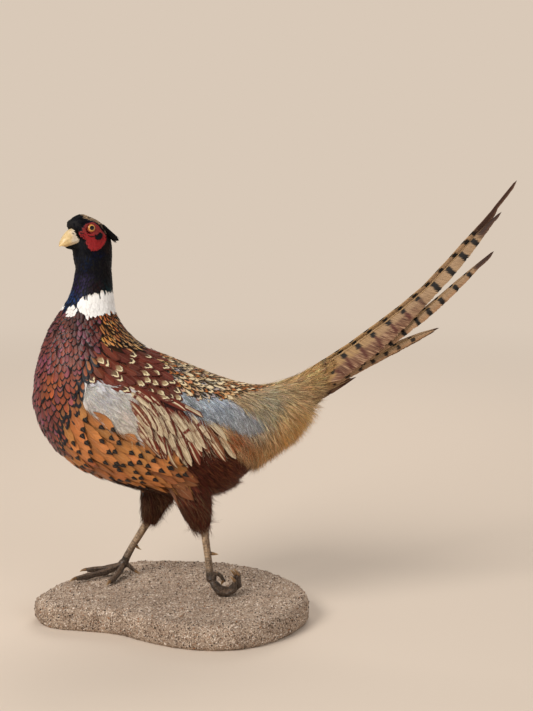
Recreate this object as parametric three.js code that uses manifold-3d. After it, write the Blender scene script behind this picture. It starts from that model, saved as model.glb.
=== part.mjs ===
// A mounted ring-necked pheasant cock standing on a flat cast base.
// Millimetres, +Z up. The bird faces -Y, its left side is +X, and the floor is z = 0.
import * as THREE from "three";
import { mergeVertices } from "three/addons/utils/BufferGeometryUtils.js";
import Module from "manifold-3d";

const wasm = await Module();
wasm.setup();

// ---------------------------------------------------------------- driving sizes
const GAP = 0.3;

const BASE_HEIGHT = 35;
const BASE_ROUND = 11;
const BASE_DOME = 2;
const BASE_MIDDLE = [18, 0];
// The slab's plan, drawn in a little at the left front like a pebble: x, y.
const BASE_PLAN = [
  [36, -180], [72, -157], [85, -112], [97, -68], [128, -26], [155, 30], [154, 92], [112, 146],
  [38, 180], [-40, 158], [-104, 98], [-127, 20], [-118, -76], [-62, -134], [-4, -166],
];

// The body is a fan of slices from the nape to the tail. Each row: the slice's point on the
// back (y, z), its point on the breast or belly (y, z), and its half width.
const BODY_SLICES = [
  [-76, 470, -121.5, 470, 21],
  [-74, 448, -126, 448, 23],
  [-73, 424, -130.5, 429, 26],
  [-71, 406, -143.5, 408, 34],
  [-63, 389, -163, 377, 47],
  [-50, 372, -176, 338, 59],
  [-32, 358.5, -184, 290, 68],
  [-14, 351, -172, 246, 73],
  [4, 344, -142, 209, 76],
  [24, 336, -100, 187, 77],
  [44, 327.5, -56, 173.5, 77],
  [64, 320, -12, 164, 75],
  [84, 313.5, 36, 159, 70],
  [104, 310, 75, 172, 61],
  [124, 310, 105, 199, 51],
  [143, 314, 135, 223, 41],
  [161, 320, 161, 243, 32],
  [178, 329.5, 181, 272, 25],
  [193, 337.5, 196, 298, 19],
  [203, 343, 206, 312, 14],
];
const BODY_AROUND = 24;
const BODY_ALONG = 25;

// The head is turned to its left on the neck and sits on this point between the eyes.
const HEAD_CENTRE = new THREE.Vector3(4, -110, 512);
const HEAD_TURN = 40;
const HEAD_NOD = 13;
// Each row: height over the eyes, middle along the face, half length, half width, squareness.
const HEAD_LEVELS = [
  [-62, -10, 22, 19, 2.0],
  [-50, -11, 25.6, 22.2, 2.0],
  [-38, -10.8, 27.6, 22, 2.1],
  [-26, -11, 27.5, 20.6, 2.2],
  [-14, -10.4, 27.4, 18.4, 2.3],
  [-4, -8.4, 27, 17, 2.4],
  [4, -3, 24, 15.7, 2.4],
  [11, 1.5, 19, 12.8, 2.3],
  [16, 4.5, 10.5, 8, 2.1],
  [19, 5, 3, 2.5, 2.0],
];
const HEAD_SIDE_SHIFT = 4;

const EYE_RADIUS = 7;
const EYE_OUT = 11.4;
const BILL_BACK = 14;
const BILL_LENGTH = 27.5;

const CUT_HEAD = { point: [0, -100, 476], normal: [0, 0.12, 1] };
const CUT_RING = { point: [0, -108, 401], normal: [0, -0.1, 1] };
const CUT_TAIL = { point: [0, 128, 270], normal: [0, 0.87, 0.5] };

const WING_PROUD = 5;
const WING_OUTLINE = [
  [-108, 296], [-101, 320], [-50, 318], [2, 304], [60, 271], [100, 224],
  [55, 220], [14, 219], [-24, 238], [-68, 263],
];

const WATTLE_PROUD = 1.5;
const WATTLE_OUTLINE = [
  [17, -8], [13.5, 0], [9, 5], [4, 8], [-4, 7.5], [-9, 3], [-12, -3], [-21, -5.5], [-25, -10.5],
  [-19, -17], [-13, -25.5], [-4, -29.5], [4, -29.5], [11, -26], [13, -20], [10, -13],
];

const TARSUS_RADIUS = 4.9;
const TOE_RADIUS = 4.3;
const CLAW_RADIUS = 2.3;

const FEATHER_THICK = 1.2;

// ---------------------------------------------------------------- shape helpers
const vec = (x, y, z) => new THREE.Vector3(x, y, z);

function volumeOf(positions, index) {
  const [a, b, c] = [vec(), vec(), vec()];
  let total = 0;
  for (let i = 0; i < index.length; i += 3) {
    a.fromArray(positions, index[i] * 3);
    b.fromArray(positions, index[i + 1] * 3);
    c.fromArray(positions, index[i + 2] * 3);
    total += a.dot(b.cross(c));
  }
  return total;
}

// Closes a run of equal rings into one body with a fan over each end.
function loft(rings) {
  const count = rings[0].length;
  const positions = rings.flat().flatMap((p) => [p.x, p.y, p.z]);
  const index = [];
  for (let r = 0; r < rings.length - 1; r += 1) {
    for (let k = 0; k < count; k += 1) {
      const a = r * count + k;
      const b = r * count + ((k + 1) % count);
      index.push(a, b, b + count, a, b + count, a + count);
    }
  }
  for (const end of [0, rings.length - 1]) {
    const middle = rings[end].reduce((sum, p) => sum.add(p), vec(0, 0, 0)).divideScalar(count);
    const hub = positions.length / 3;
    positions.push(middle.x, middle.y, middle.z);
    for (let k = 0; k < count; k += 1) {
      const a = end * count + k;
      const b = end * count + ((k + 1) % count);
      if (end === 0) index.push(hub, b, a);
      else index.push(hub, a, b);
    }
  }
  if (volumeOf(positions, index) < 0) index.reverse();
  const geometry = new THREE.BufferGeometry();
  geometry.setAttribute("position", new THREE.Float32BufferAttribute(positions, 3));
  geometry.setIndex(index);
  return geometry;
}

const round = (value, power) => Math.sign(value) * Math.abs(value) ** power;

// A rounded-square loop: `across` and `along` are half sizes on the two given directions.
function oval(centre, acrossDirection, alongDirection, across, along, square, count) {
  return Array.from({ length: count }, (_, k) => {
    const angle = (k / count) * Math.PI * 2;
    const s = round(Math.sin(angle), 2 / square);
    const c = round(Math.cos(angle), 2 / square);
    return centre.clone()
      .addScaledVector(acrossDirection, s * across)
      .addScaledVector(alongDirection, c * along);
  });
}

const many = (bodies) => bodies.reduce((sum, body) => sum.add(body));

function solid(geometry) {
  const bare = geometry.clone();
  bare.deleteAttribute("normal");
  bare.deleteAttribute("uv");
  const merged = mergeVertices(bare, 1e-4);
  return new wasm.Manifold(new wasm.Mesh({
    numProp: 3,
    vertProperties: new Float32Array(merged.attributes.position.array),
    triVerts: new Uint32Array(merged.index.array),
  }));
}

function geometryOf(body) {
  const mesh = body.getMesh();
  const geometry = new THREE.BufferGeometry();
  geometry.setAttribute("position", new THREE.Float32BufferAttribute(mesh.vertProperties, 3));
  geometry.setIndex(new THREE.Uint32BufferAttribute(mesh.triVerts, 1));
  return geometry;
}

// Everything on the normal's side of a plane, `shift` further along that normal.
function halfSpace({ point, normal }, sign, shift) {
  const size = 1600;
  const direction = vec(...normal).normalize().multiplyScalar(sign);
  const box = new THREE.BoxGeometry(size, size, size).translate(0, 0, size / 2 + shift);
  box.applyQuaternion(new THREE.Quaternion().setFromUnitVectors(vec(0, 0, 1), direction));
  box.translate(...point);
  return solid(box);
}

// A closed smooth outline in a plane, moved out by `grow`.
function outline(corners, grow, steps) {
  const curve = new THREE.CatmullRomCurve3(corners.map(([a, b]) => vec(a, b, 0)), true);
  const turn = THREE.ShapeUtils.isClockWise(corners.map(([a, b]) => new THREE.Vector2(a, b))) ? -1 : 1;
  return Array.from({ length: steps }, (_, k) => {
    const at = curve.getPoint(k / steps);
    const tangent = curve.getTangent(k / steps);
    return new THREE.Vector2(at.x + tangent.y * grow * turn, at.y - tangent.x * grow * turn);
  });
}

// An upright wall over that outline: its plane is (a, b) and it reaches along `out`.
function prism(points, a, b, out, from, to) {
  const depth = to - from;
  const wall = new THREE.ExtrudeGeometry(new THREE.Shape(points), { depth, bevelEnabled: false });
  wall.translate(0, 0, from);
  wall.applyMatrix4(new THREE.Matrix4().makeBasis(a, b, out));
  return wall;
}

// A round limb through the given points; radii are spread evenly along it.
function limb(points, radii, sides, steps, grow = 0) {
  const path = new THREE.CatmullRomCurve3(points);
  const frames = path.computeFrenetFrames(steps, false);
  const sizes = new THREE.CatmullRomCurve3(radii.map((r, i) => vec(i, r, 0)));
  const rings = Array.from({ length: steps + 1 }, (_, i) => {
    const radius = sizes.getPoint(i / steps).y + grow;
    const centre = path.getPointAt(i / steps);
    return oval(centre, frames.normals[i], frames.binormals[i], radius, radius, 2, sides);
  });
  if (grow) {
    const lift = (ring, way) => ring.forEach((p) => p.addScaledVector(way, grow));
    lift(rings[0], frames.tangents[0].clone().negate());
    lift(rings[steps], frames.tangents[steps]);
  }
  return loft(rings);
}

// ---------------------------------------------------------------- the node list
const pheasant = new THREE.Group();
pheasant.name = "taxidermy_ring_necked_pheasant";

const LOOKS = {
  base_grit: { color: 0x8f8578, roughness: 0.95 },
  black_plumage: { color: 0x14161d, roughness: 0.6 },
  neck_plumage: { color: 0x17273c, roughness: 0.5 },
  body_plumage: { color: 0x8a4524, roughness: 0.7 },
  wing_plumage: { color: 0xa59684, roughness: 0.75 },
  rump_plumage: { color: 0xa38a55, roughness: 0.8 },
  thigh_plumage: { color: 0x3e2017, roughness: 0.85 },
  tail_plumage: { color: 0xad906a, roughness: 0.7 },
  wattle_skin: { color: 0x9c1622, roughness: 0.6 },
  bill_horn: { color: 0xd8c590, roughness: 0.4 },
  claw_horn: { color: 0xa8743e, roughness: 0.45 },
  leg_scale: { color: 0x85786a, roughness: 0.55 },
  toe_scale: { color: 0x3f3833, roughness: 0.5 },
  eye_glass: { color: 0xc9812b, roughness: 0.08 },
};

function add(name, slot, body) {
  const material = new THREE.MeshStandardMaterial({ ...LOOKS[slot], metalness: 0 });
  material.name = slot;
  const geometry = body.isBufferGeometry ? body : geometryOf(body);
  const mesh = new THREE.Mesh(geometry, material);
  mesh.name = name;
  pheasant.add(mesh);
}

// ---------------------------------------------------------------- the base
const [middleX, middleY] = BASE_MIDDLE;
const slabRing = (inset, z) => outline(BASE_PLAN, -inset, 33).map((p) => vec(p.x, p.y, z));
const slabTop = (scale) => slabRing(BASE_ROUND, 0).map((p) => vec(
  middleX + (p.x - middleX) * scale,
  middleY + (p.y - middleY) * scale,
  BASE_HEIGHT - BASE_DOME * scale ** 2,
));

const slabRings = [slabRing(3, 0), slabRing(0, 6)];
for (const degrees of [0, 30, 60]) {
  const angle = THREE.MathUtils.degToRad(degrees);
  const drop = BASE_DOME + BASE_ROUND * (1 - Math.sin(angle));
  slabRings.push(slabRing(BASE_ROUND * (1 - Math.cos(angle)), BASE_HEIGHT - drop));
}
for (const scale of [1, 0.66, 0.33]) slabRings.push(slabTop(scale));
const base = solid(loft(slabRings));
add("base_slab", "base_grit", base);

// ---------------------------------------------------------------- trunk and neck
const backLine = new THREE.CatmullRomCurve3(
  BODY_SLICES.map(([y, z]) => vec(0, y, z)), false, "catmullrom", 0.5,
);
const bellyLine = new THREE.CatmullRomCurve3(
  BODY_SLICES.map(([, , y, z]) => vec(0, y, z)), false, "catmullrom", 0.5,
);
const sideLine = new THREE.CatmullRomCurve3(
  BODY_SLICES.map(([, , , , half], i) => vec(i, half, 0)), false, "catmullrom", 0.5,
);

function bodyLoft(grow) {
  const rings = Array.from({ length: BODY_ALONG + 1 }, (_, i) => {
    const at = i / BODY_ALONG;
    const back = backLine.getPoint(at);
    const belly = bellyLine.getPoint(at);
    const rise = back.clone().sub(belly);
    const tall = rise.length() / 2 + grow;
    const middle = back.add(belly).divideScalar(2);
    return oval(middle, vec(1, 0, 0), rise.normalize(), sideLine.getPoint(at).y + grow, tall, 2.1,
      BODY_AROUND);
  });
  return solid(loft(rings));
}

// ---------------------------------------------------------------- head
const turn = THREE.MathUtils.degToRad(HEAD_TURN);
const ahead = vec(Math.sin(turn), -Math.cos(turn), 0);
const aside = vec(Math.cos(turn), Math.sin(turn), 0);

// A point of the head: forward along the face, out to its left, up over the eyes.
const facePoint = (forward, left, up) => HEAD_CENTRE.clone()
  .addScaledVector(ahead, forward)
  .addScaledVector(aside, left)
  .add(vec(0, 0, up));

// The same with the face tipped down, for the bill.
function nodPoint(forward, left, up) {
  const nod = THREE.MathUtils.degToRad(HEAD_NOD);
  return facePoint(
    forward * Math.cos(nod) + up * Math.sin(nod), left, up * Math.cos(nod) - forward * Math.sin(nod),
  );
}

function headBody(grow) {
  const rings = HEAD_LEVELS.map(([up, middle, long, wide, square]) => {
    const shift = HEAD_SIDE_SHIFT * THREE.MathUtils.clamp((-up - 10) / 40, 0, 1);
    return oval(facePoint(middle, shift, up), aside, ahead, wide + grow, long + grow, square, 18);
  });
  return solid(loft(rings));
}

// Chin feathers run forward under the bill, and the brow stands over it.
function ball(centre, radii, directions, grow = 0) {
  const sphere = new THREE.SphereGeometry(1, 10, 6);
  sphere.scale(...radii.map((r) => r + grow));
  sphere.applyMatrix4(new THREE.Matrix4().makeBasis(...directions));
  return solid(sphere.translate(centre.x, centre.y, centre.z));
}
const up = vec(0, 0, 1);
const faceWays = [ahead.clone().negate(), aside.clone().negate(), up];
const chin = (grow) => ball(facePoint(14, 0, -19.5), [17.5, 9, 7], faceWays, grow);
const brow = (grow) => ball(facePoint(11.5, -2.5, 5.5), [11.5, 13, 9.5], faceWays, grow);
const face = (grow) => many([headBody(grow), chin(grow), brow(grow)]);

// The bill: an arched upper half that hooks over a shallow lower half, meeting along the gape.
function billHalf(upper, grow) {
  const reach = upper ? BILL_LENGTH : BILL_LENGTH - 4;
  const rings = Array.from({ length: 7 }, (_, i) => {
    const t = i / 6;
    const forward = BILL_BACK + reach * t + (i === 6 ? grow : 0);
    const taper = Math.sqrt(Math.max(0, 1 - t ** 2.2));
    const half = (upper ? 9 : 8) * taper + 0.6 + grow;
    const gape = -9.2 - 1.8 * ((forward - BILL_BACK) / BILL_LENGTH) ** 3;
    const depth = upper ? gape - (6.4 - 1.4 * t - 15.2 * t ** 2.3) : 4.6 * taper + 0.8;
    const rise = Math.max(0.8, Math.abs(depth)) + grow;
    const flat = gape + (upper ? -grow : grow - GAP - 0.1);
    return Array.from({ length: 12 }, (_, k) => {
      const angle = (k / 12) * Math.PI * 2;
      const lift = Math.max(0, Math.cos(angle)) ** 0.85 * (rise + grow);
      return nodPoint(forward, Math.sin(angle) * half, flat + (upper ? lift : -lift));
    });
  });
  return solid(loft(rings));
}

const eye = (sign, grow) => {
  const centre = facePoint(0.5, sign * EYE_OUT, 0);
  const sphere = new THREE.SphereGeometry(EYE_RADIUS + grow, 10, 8);
  return solid(sphere.translate(centre.x, centre.y, centre.z));
};

const earTuft = (sign, grow) => solid(limb(
  [facePoint(-19, sign * 11, 2), facePoint(-27, sign * 13, -3), facePoint(-34, sign * 14.5, -9.5),
    facePoint(-41, sign * 16, -16)],
  [3.2, 3.8, 3.4, 1.6], 8, 4, grow,
));

const wattle = (sign) => {
  const wall = solid(prism(
    outline(WATTLE_OUTLINE, 0, 24), ahead, up, aside.clone().negate(),
    sign > 0 ? -40 : 4, sign > 0 ? -4 : 40,
  ).translate(HEAD_CENTRE.x, HEAD_CENTRE.y, HEAD_CENTRE.z));
  return headBody(WATTLE_PROUD).intersect(wall);
};

// ---------------------------------------------------------------- legs
const THIGHS = {
  left: {
    points: [[32, 14, 205], [34, 27, 172], [35, 33, 148], [35.5, 38, 128]],
    radii: [30, 28, 21.5, 12],
  },
  right: {
    points: [[-36, -6, 205], [-41, -20, 165], [-44, -29, 134], [-46, -35, 111]],
    radii: [32, 28, 19.5, 9.5],
  },
};

const LEGS = {
  left: {
    shin: [[36, 42, 127.4], [36, 45, 104], [36.4, 48, 80], [37, 50, 60]],
    cut: { point: [37, 49.6, 66], normal: [0, -0.1, 1] },
    hub: [37, 51.5, 57],
    toes: [
      [[37, 51, 58], [30, 56, 48], [28, 65, 39.6], [28, 77, 39.8], [28, 84, 48], [28, 82, 58]],
      [[37, 51, 58], [37, 56, 46], [37, 65, 38.8], [37, 79, 39.6], [37, 88, 49], [37, 87, 60]],
      [[37, 51, 58], [44.5, 56, 47], [46.5, 64, 39.4], [46.5, 75, 39.4], [46.5, 82.5, 46], [46.5, 82, 55]],
      [[37, 53, 62], [36, 59, 63.5], [35, 64, 60], [35, 67, 54]],
    ],
    claws: [
      [[28, 82.4, 57], [28, 80, 63], [28, 76, 66]],
      [[37, 87, 59], [37, 85, 66], [37, 80, 70]],
      [[46.5, 82, 54], [46.5, 80, 60], [46.5, 76, 63]],
      [[35, 66.8, 54.6], [35, 66.6, 50], [35, 64, 47]],
    ],
    spur: [[36.3, 49.5, 90], [36.3, 55, 90], [36.3, 61, 89.4]],
  },
  right: {
    shin: [[-46.3, -37, 110.4], [-48, -48, 92], [-50, -60, 72], [-52, -70, 52]],
    cut: { point: [-51, -66, 59], normal: [0.03, 0.5, 0.87] },
    hub: [-52, -71, 50],
    toes: [
      [[-52, -70, 50], [-30, -76, 43], [-14, -82, 39.4], [-6, -85, 39]],
      [[-52, -70, 50], [-45, -90, 42], [-33, -110, 39.6], [-18, -131, 39.4]],
      [[-52, -70, 50], [-57, -88, 43], [-58, -106, 40], [-56, -121, 39.6]],
      [[-52, -69, 52], [-50, -62, 46], [-48, -56, 41]],
    ],
    claws: [
      [[-7, -84.6, 39.4], [-1, -87, 39], [3, -89, 36.6]],
      [[-18.6, -130, 40], [-14, -136, 40], [-11, -140, 37]],
      [[-56.2, -120, 40], [-55, -126, 40.6], [-54, -131, 37.6]],
      [[-48.2, -56.6, 41.4], [-47, -52, 40], [-46, -49, 36.4]],
    ],
    spur: [[-50, -57, 79], [-49.6, -51, 75], [-49, -46, 70]],
  },
};

const vectors = (rows) => rows.map((row) => vec(...row));

const thigh = (side, grow) => {
  const { points, radii } = THIGHS[side];
  return solid(limb(vectors(points), radii, 16, 5, grow));
};

function buildLeg(side) {
  const { shin, cut, hub, toes, claws, spur } = LEGS[side];
  const shaft = (grow) => solid(
    limb(vectors(shin), [5.4, TARSUS_RADIUS, TARSUS_RADIUS - 0.3, 5.6], 10, 5, grow),
  );
  const toe = (row, i, grow) => {
    const radii = [1.1, 0.92, 1.06, 0.86, 0.98, 0.72].map((r) => r * TOE_RADIUS * (i === 3 ? 0.72 : 1));
    return solid(limb(vectors(row), radii, 6, i === 3 ? 3 : 5, grow));
  };
  const knuckle = ball(vec(...hub), [7, 7, 6.5], [vec(1, 0, 0), vec(0, 1, 0), up]);
  const leg = many([shaft(0), knuckle, ...toes.map((row, i) => toe(row, i, 0))])
    .subtract(thigh(side, GAP));
  add(`tarsus_${side}`, "leg_scale", leg.intersect(halfSpace(cut, 1, GAP / 2)));
  add(`foot_${side}`, "toe_scale", leg.intersect(halfSpace(cut, -1, GAP / 2)).subtract(base));
  claws.forEach((row, i) => {
    const nail = solid(limb(vectors(row), [CLAW_RADIUS, CLAW_RADIUS * 0.8, 0.7], 6, 3));
    add(`claw_${side}_${i + 1}`, "claw_horn", nail.subtract(toe(toes[i], i, GAP)).subtract(base));
  });
  const heel = solid(limb(vectors(spur), [2.6, 1.9, 0.8], 6, 2));
  add(`spur_${side}`, "claw_horn", heel.subtract(shaft(GAP)));
}

// ---------------------------------------------------------------- wings
const wing = (sign) => {
  const wall = solid(prism(
    outline(WING_OUTLINE, 0, 24), vec(0, 1, 0), vec(0, 0, 1), vec(1, 0, 0),
    sign > 0 ? 20 : -120, sign > 0 ? 120 : -20,
  ));
  return bodyLoft(WING_PROUD).intersect(wall).subtract(bodyLoft(GAP));
};

// ---------------------------------------------------------------- tail feathers
// Each feather: the shaft's line as (x, y, z), the vane's width inside and outside the shaft
// from root to tip, and how steeply the outer vane hangs.
const TAIL = {
  tail_centre_right: {
    shaft: [[-2, 120, 291], [-2, 165, 320], [-2, 214, 350], [-2, 271, 391.5], [-2, 325, 435.5],
      [-2, 375, 491.5], [-2, 408, 528.5], [-2, 420, 544], [-2, 443, 574]],
    inner: [1.5, 1.5, 1.5, 1.5, 1.5, 1.5, 1.2, 1.2, 0.5],
    outer: [20, 26, 28, 25, 15, 12, 10, 3.5, 0.6],
    hang: 62,
  },
  tail_centre_left: {
    shaft: [[2, 120, 288], [2, 166, 316], [2, 216, 346], [2, 273, 387], [2, 326, 430], [2, 368, 474],
      [2, 398, 508], [2, 424, 534]],
    inner: [1.5, 1.5, 1.5, 1.5, 1.5, 2, 2, 0.5],
    outer: [20, 26, 29, 25.5, 15, 12.5, 8, 0.6],
    hang: 62,
  },
  tail_second_left: {
    shaft: [[3, 122, 282], [3.5, 170, 304], [4, 228, 336], [5, 288, 377], [6, 334, 412],
      [6, 375, 448.5], [6, 415, 484]],
    inner: [3, 4, 4, 3.5, 3, 2.5, 0.5],
    outer: [14, 15, 14, 12, 11, 8, 0.6],
    hang: 68,
  },
  tail_second_right: {
    shaft: [[-3, 122, 282], [-3.5, 170, 303], [-4, 228, 333], [-5, 287, 373], [-6, 333, 408],
      [-6, 374, 444], [-6, 411, 476]],
    inner: [3, 4, 4, 4, 4, 3.5, 0.5],
    outer: [14, 15, 14, 12, 11, 8, 0.6],
    hang: 68,
  },
  tail_third_left: {
    shaft: [[2.6, 126, 274], [3, 172, 294], [3.4, 220, 320], [3.8, 264, 344], [4, 305, 366], [4, 347, 384]],
    inner: [3, 4, 4, 5, 5, 0.5],
    outer: [8, 9, 8, 7, 6, 0.6],
    hang: 74,
  },
  tail_third_right: {
    shaft: [[-2.6, 126, 274], [-3, 172, 293], [-3.4, 220, 318], [-3.8, 264, 341], [-4, 304, 361],
      [-4, 342, 378]],
    inner: [3, 4, 4, 5, 5, 0.5],
    outer: [8, 9, 8, 7, 6, 0.6],
    hang: 74,
  },
  tail_outer_left: {
    shaft: [[2.4, 140, 268], [3, 176, 287], [3.6, 208, 303], [4.5, 240, 319]],
    inner: [3, 4, 4, 0.5],
    outer: [6, 7, 6, 0.6],
    hang: 76,
  },
  tail_outer_right: {
    shaft: [[-2.4, 140, 268], [-3, 176, 287], [-3.6, 206, 302], [-4.5, 234, 316]],
    inner: [3, 4, 4, 0.5],
    outer: [6, 7, 6, 0.6],
    hang: 76,
  },
};

function feather({ shaft, inner, outer, hang }) {
  const side = Math.sign(shaft[0][0]);
  const path = new THREE.CatmullRomCurve3(vectors(shaft));
  const widths = new THREE.CatmullRomCurve3(inner.map((w, i) => vec(w, outer[i], 0)));
  const drop = THREE.MathUtils.degToRad(hang);
  const steps = Math.round(shaft.length * 1.5);
  const rings = Array.from({ length: steps + 1 }, (_, i) => {
    const at = i / steps;
    const tangent = path.getTangent(at);
    const size = widths.getPoint(at);
    const upright = vec(0, -tangent.z, tangent.y).normalize();
    const out = vec(side * Math.cos(drop), 0, 0).addScaledVector(upright, -Math.sin(drop));
    const face = vec(side * Math.sin(drop), 0, 0).addScaledVector(upright, Math.cos(drop));
    const thick = FEATHER_THICK * (at > 0.98 ? 0.7 : 1);
    const marks = [-size.x, size.y * 0.45, size.y];
    const arch = [0, size.y * 0.05, 0];
    const over = marks.map((m, k) => path.getPoint(at).addScaledVector(out, m)
      .addScaledVector(face, arch[k] + thick / 2));
    const under = marks.map((m, k) => path.getPoint(at).addScaledVector(out, m)
      .addScaledVector(face, arch[k] - thick / 2));
    return [...over, ...under.reverse()];
  });
  return solid(loft(rings));
}

// ---------------------------------------------------------------- assembling the bird
const whole = many([bodyLoft(0), face(0)]);
const sides = { left: 1, right: -1 };

const headHoles = many([billHalf(true, GAP), billHalf(false, GAP), eye(1, GAP), eye(-1, GAP)]);
add("head", "black_plumage", whole.intersect(halfSpace(CUT_HEAD, 1, GAP / 2)).subtract(headHoles));
add("neck", "neck_plumage", whole
  .intersect(halfSpace(CUT_HEAD, -1, GAP / 2))
  .intersect(halfSpace(CUT_RING, 1, GAP / 2)));
add("trunk", "body_plumage", whole
  .intersect(halfSpace(CUT_RING, -1, GAP / 2))
  .intersect(halfSpace(CUT_TAIL, -1, GAP / 2)));
add("tail_coverts", "rump_plumage", whole.intersect(halfSpace(CUT_TAIL, 1, GAP / 2)));

add("bill_upper", "bill_horn", billHalf(true, 0));
add("bill_lower", "bill_horn", billHalf(false, 0));
for (const [side, sign] of Object.entries(sides)) {
  add(`eye_${side}`, "eye_glass", eye(sign, 0));
  add(`wattle_${side}`, "wattle_skin", wattle(sign)
    .subtract(many([eye(sign, GAP), billHalf(true, GAP), face(GAP)])));
  add(`ear_tuft_${side}`, "black_plumage", earTuft(sign, 0).subtract(headBody(GAP)));
  add(`wing_${side}`, "wing_plumage", wing(sign));
  add(`thigh_${side}`, "thigh_plumage", thigh(side, 0).subtract(bodyLoft(GAP)));
  buildLeg(side);
}

const rumpRoom = bodyLoft(GAP);
for (const [name, shape] of Object.entries(TAIL)) {
  add(name, "tail_plumage", feather(shape).subtract(rumpRoom));
}

export default pheasant;
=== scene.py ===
# %% [markdown]
# # A mounted ring-necked pheasant, one feather tract at a time
# This lesson dresses a solid model of a cock pheasant. The solids give the outline, the pose and the
# real size. Here one skin is drawn over them, and the coat is then laid on that skin feather by
# feather, because a bird's looks come from how thousands of vanes overlap and catch the light.

# %% The fixed frame
import math
from itertools import product
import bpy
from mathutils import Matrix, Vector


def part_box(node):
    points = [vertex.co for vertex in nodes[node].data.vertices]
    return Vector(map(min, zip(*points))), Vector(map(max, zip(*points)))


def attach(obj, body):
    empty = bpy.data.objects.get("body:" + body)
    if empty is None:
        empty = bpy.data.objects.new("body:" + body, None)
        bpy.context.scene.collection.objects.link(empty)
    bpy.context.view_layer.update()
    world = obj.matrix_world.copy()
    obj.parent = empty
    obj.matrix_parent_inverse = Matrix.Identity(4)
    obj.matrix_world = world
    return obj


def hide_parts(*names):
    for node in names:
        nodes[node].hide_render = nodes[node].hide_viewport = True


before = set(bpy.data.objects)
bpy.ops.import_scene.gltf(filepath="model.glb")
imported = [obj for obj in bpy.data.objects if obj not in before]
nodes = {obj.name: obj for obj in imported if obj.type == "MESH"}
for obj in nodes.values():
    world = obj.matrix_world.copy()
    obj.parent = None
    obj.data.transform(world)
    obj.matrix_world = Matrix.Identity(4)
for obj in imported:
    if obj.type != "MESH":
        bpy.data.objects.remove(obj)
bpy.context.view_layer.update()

from types import SimpleNamespace

import bmesh
import bpy
import numpy as np
from mathutils import Vector
from mathutils.bvhtree import BVHTree

MM = 0.001

# %% [markdown]
# ## Mesh helpers
# A coat has far too many vertices to add by hand, so meshes are filled from arrays. The first helper
# makes a mesh from points and equal-sided faces. The second puts it in the scene as a finished piece.

# %% Arrays to meshes
def build_mesh(name, points, *face_sets):
    """A mesh from an array of points and arrays of faces, one array for each number of corners."""
    mesh = bpy.data.meshes.new(name)
    points = np.asarray(points, np.float32)
    mesh.vertices.add(len(points))
    mesh.vertices.foreach_set("co", points.ravel())
    sets = [np.asarray(faces, np.int32) for faces in face_sets if len(faces)]
    corners = np.concatenate([faces.ravel() for faces in sets])
    sizes = np.concatenate([np.full(len(faces), faces.shape[1]) for faces in sets])
    mesh.loops.add(len(corners))
    mesh.loops.foreach_set("vertex_index", corners)
    mesh.polygons.add(len(sizes))
    starts = np.concatenate([[0], np.cumsum(sizes)[:-1]]).astype(np.int32)
    mesh.polygons.foreach_set("loop_start", starts)
    mesh.update(calc_edges=True)
    return mesh


# How many triangles each piece has.
TALLY = {}


def place(mesh, name, material, stands_for=()):
    """Puts a mesh in the scene as a piece of the bird, with its finish."""
    thing = bpy.data.objects.new(name, mesh)
    bpy.context.scene.collection.objects.link(thing)
    mesh.materials.clear()
    mesh.materials.append(material)
    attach(thing, "root")
    if stands_for:
        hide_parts(*stands_for)
    TALLY[name] = sum(len(p.vertices) - 2 for p in mesh.polygons)
    print(f"{name}: {TALLY[name]} triangles")


print("pieces can be built")

# %% [markdown]
# Vertex positions, maps and colours go in and out of a mesh as whole arrays, and directions are
# handled by the thousand.

# %% Arrays of vertex values and directions
def read(mesh, kind="co"):
    """Vertex positions or normals of a mesh as an array."""
    values = np.zeros(len(mesh.vertices) * 3, np.float32)
    mesh.vertices.foreach_get(kind, values)
    return values.reshape(-1, 3).astype(float)


def write_points(mesh, points):
    """Moves a mesh's vertices to new places."""
    mesh.vertices.foreach_set("co", np.asarray(points, np.float32).ravel())
    mesh.update()


def set_uv(mesh, layer, values):
    """A UV map from one pair of numbers for each vertex."""
    corners = np.zeros(len(mesh.loops), np.int32)
    mesh.loops.foreach_get("vertex_index", corners)
    target = mesh.uv_layers.new(name=layer)
    target.data.foreach_set("uv", np.asarray(values, np.float32)[corners].ravel())


def set_tint(mesh, colours, extra=1.0):
    """Each vertex's own colour in linear light, with one more number in the fourth place."""
    extra = np.broadcast_to(np.reshape(extra, (-1, 1)), (len(colours), 1))
    target = mesh.color_attributes.new("tint", "FLOAT_COLOR", "POINT")
    target.data.foreach_set("color", np.concatenate([colours, extra], 1).astype(np.float32).ravel())


def unit(vectors):
    """The same directions with length one."""
    length = np.linalg.norm(vectors, axis=-1, keepdims=True)
    return vectors / np.maximum(length, 1e-12)


def ease(value, low, high):
    """0 below low, 1 above high, and smooth between."""
    t = np.clip((value - low) / (high - low), 0, 1)
    return t * t * (3 - 2 * t)


print("array helpers ready")

# %% [markdown]
# ## Material helpers
# Every finish here is a node tree. Short helpers keep the trees readable: one adds a node and plugs
# its inputs, one does a sum, one mixes two colours, and one turns a value into a soft-edged mask.

# %% Node helpers
def shade(code):
    """A colour written as #rrggbb, turned to the linear light that shaders work in."""
    parts = [int(code[i:i + 2], 16) / 255 for i in (1, 3, 5)]
    return [c / 12.92 if c <= 0.04045 else ((c + 0.055) / 1.055) ** 2.4 for c in parts] + [1.0]


def put(tree, kind, inputs=None, **settings):
    """Adds a node. Each input is a value or another node's socket."""
    node = tree.nodes.new(kind)
    for key, value in settings.items():
        setattr(node, key, value)
    for key, value in (inputs or {}).items():
        socket = node.inputs[key]
        if isinstance(value, bpy.types.NodeSocket):
            tree.links.new(value, socket)
        else:
            socket.default_value = value
    return node


def calc(tree, operation, *values):
    """One sum on one, two or three values."""
    return put(tree, "ShaderNodeMath", dict(enumerate(values)), operation=operation).outputs[0]


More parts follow.
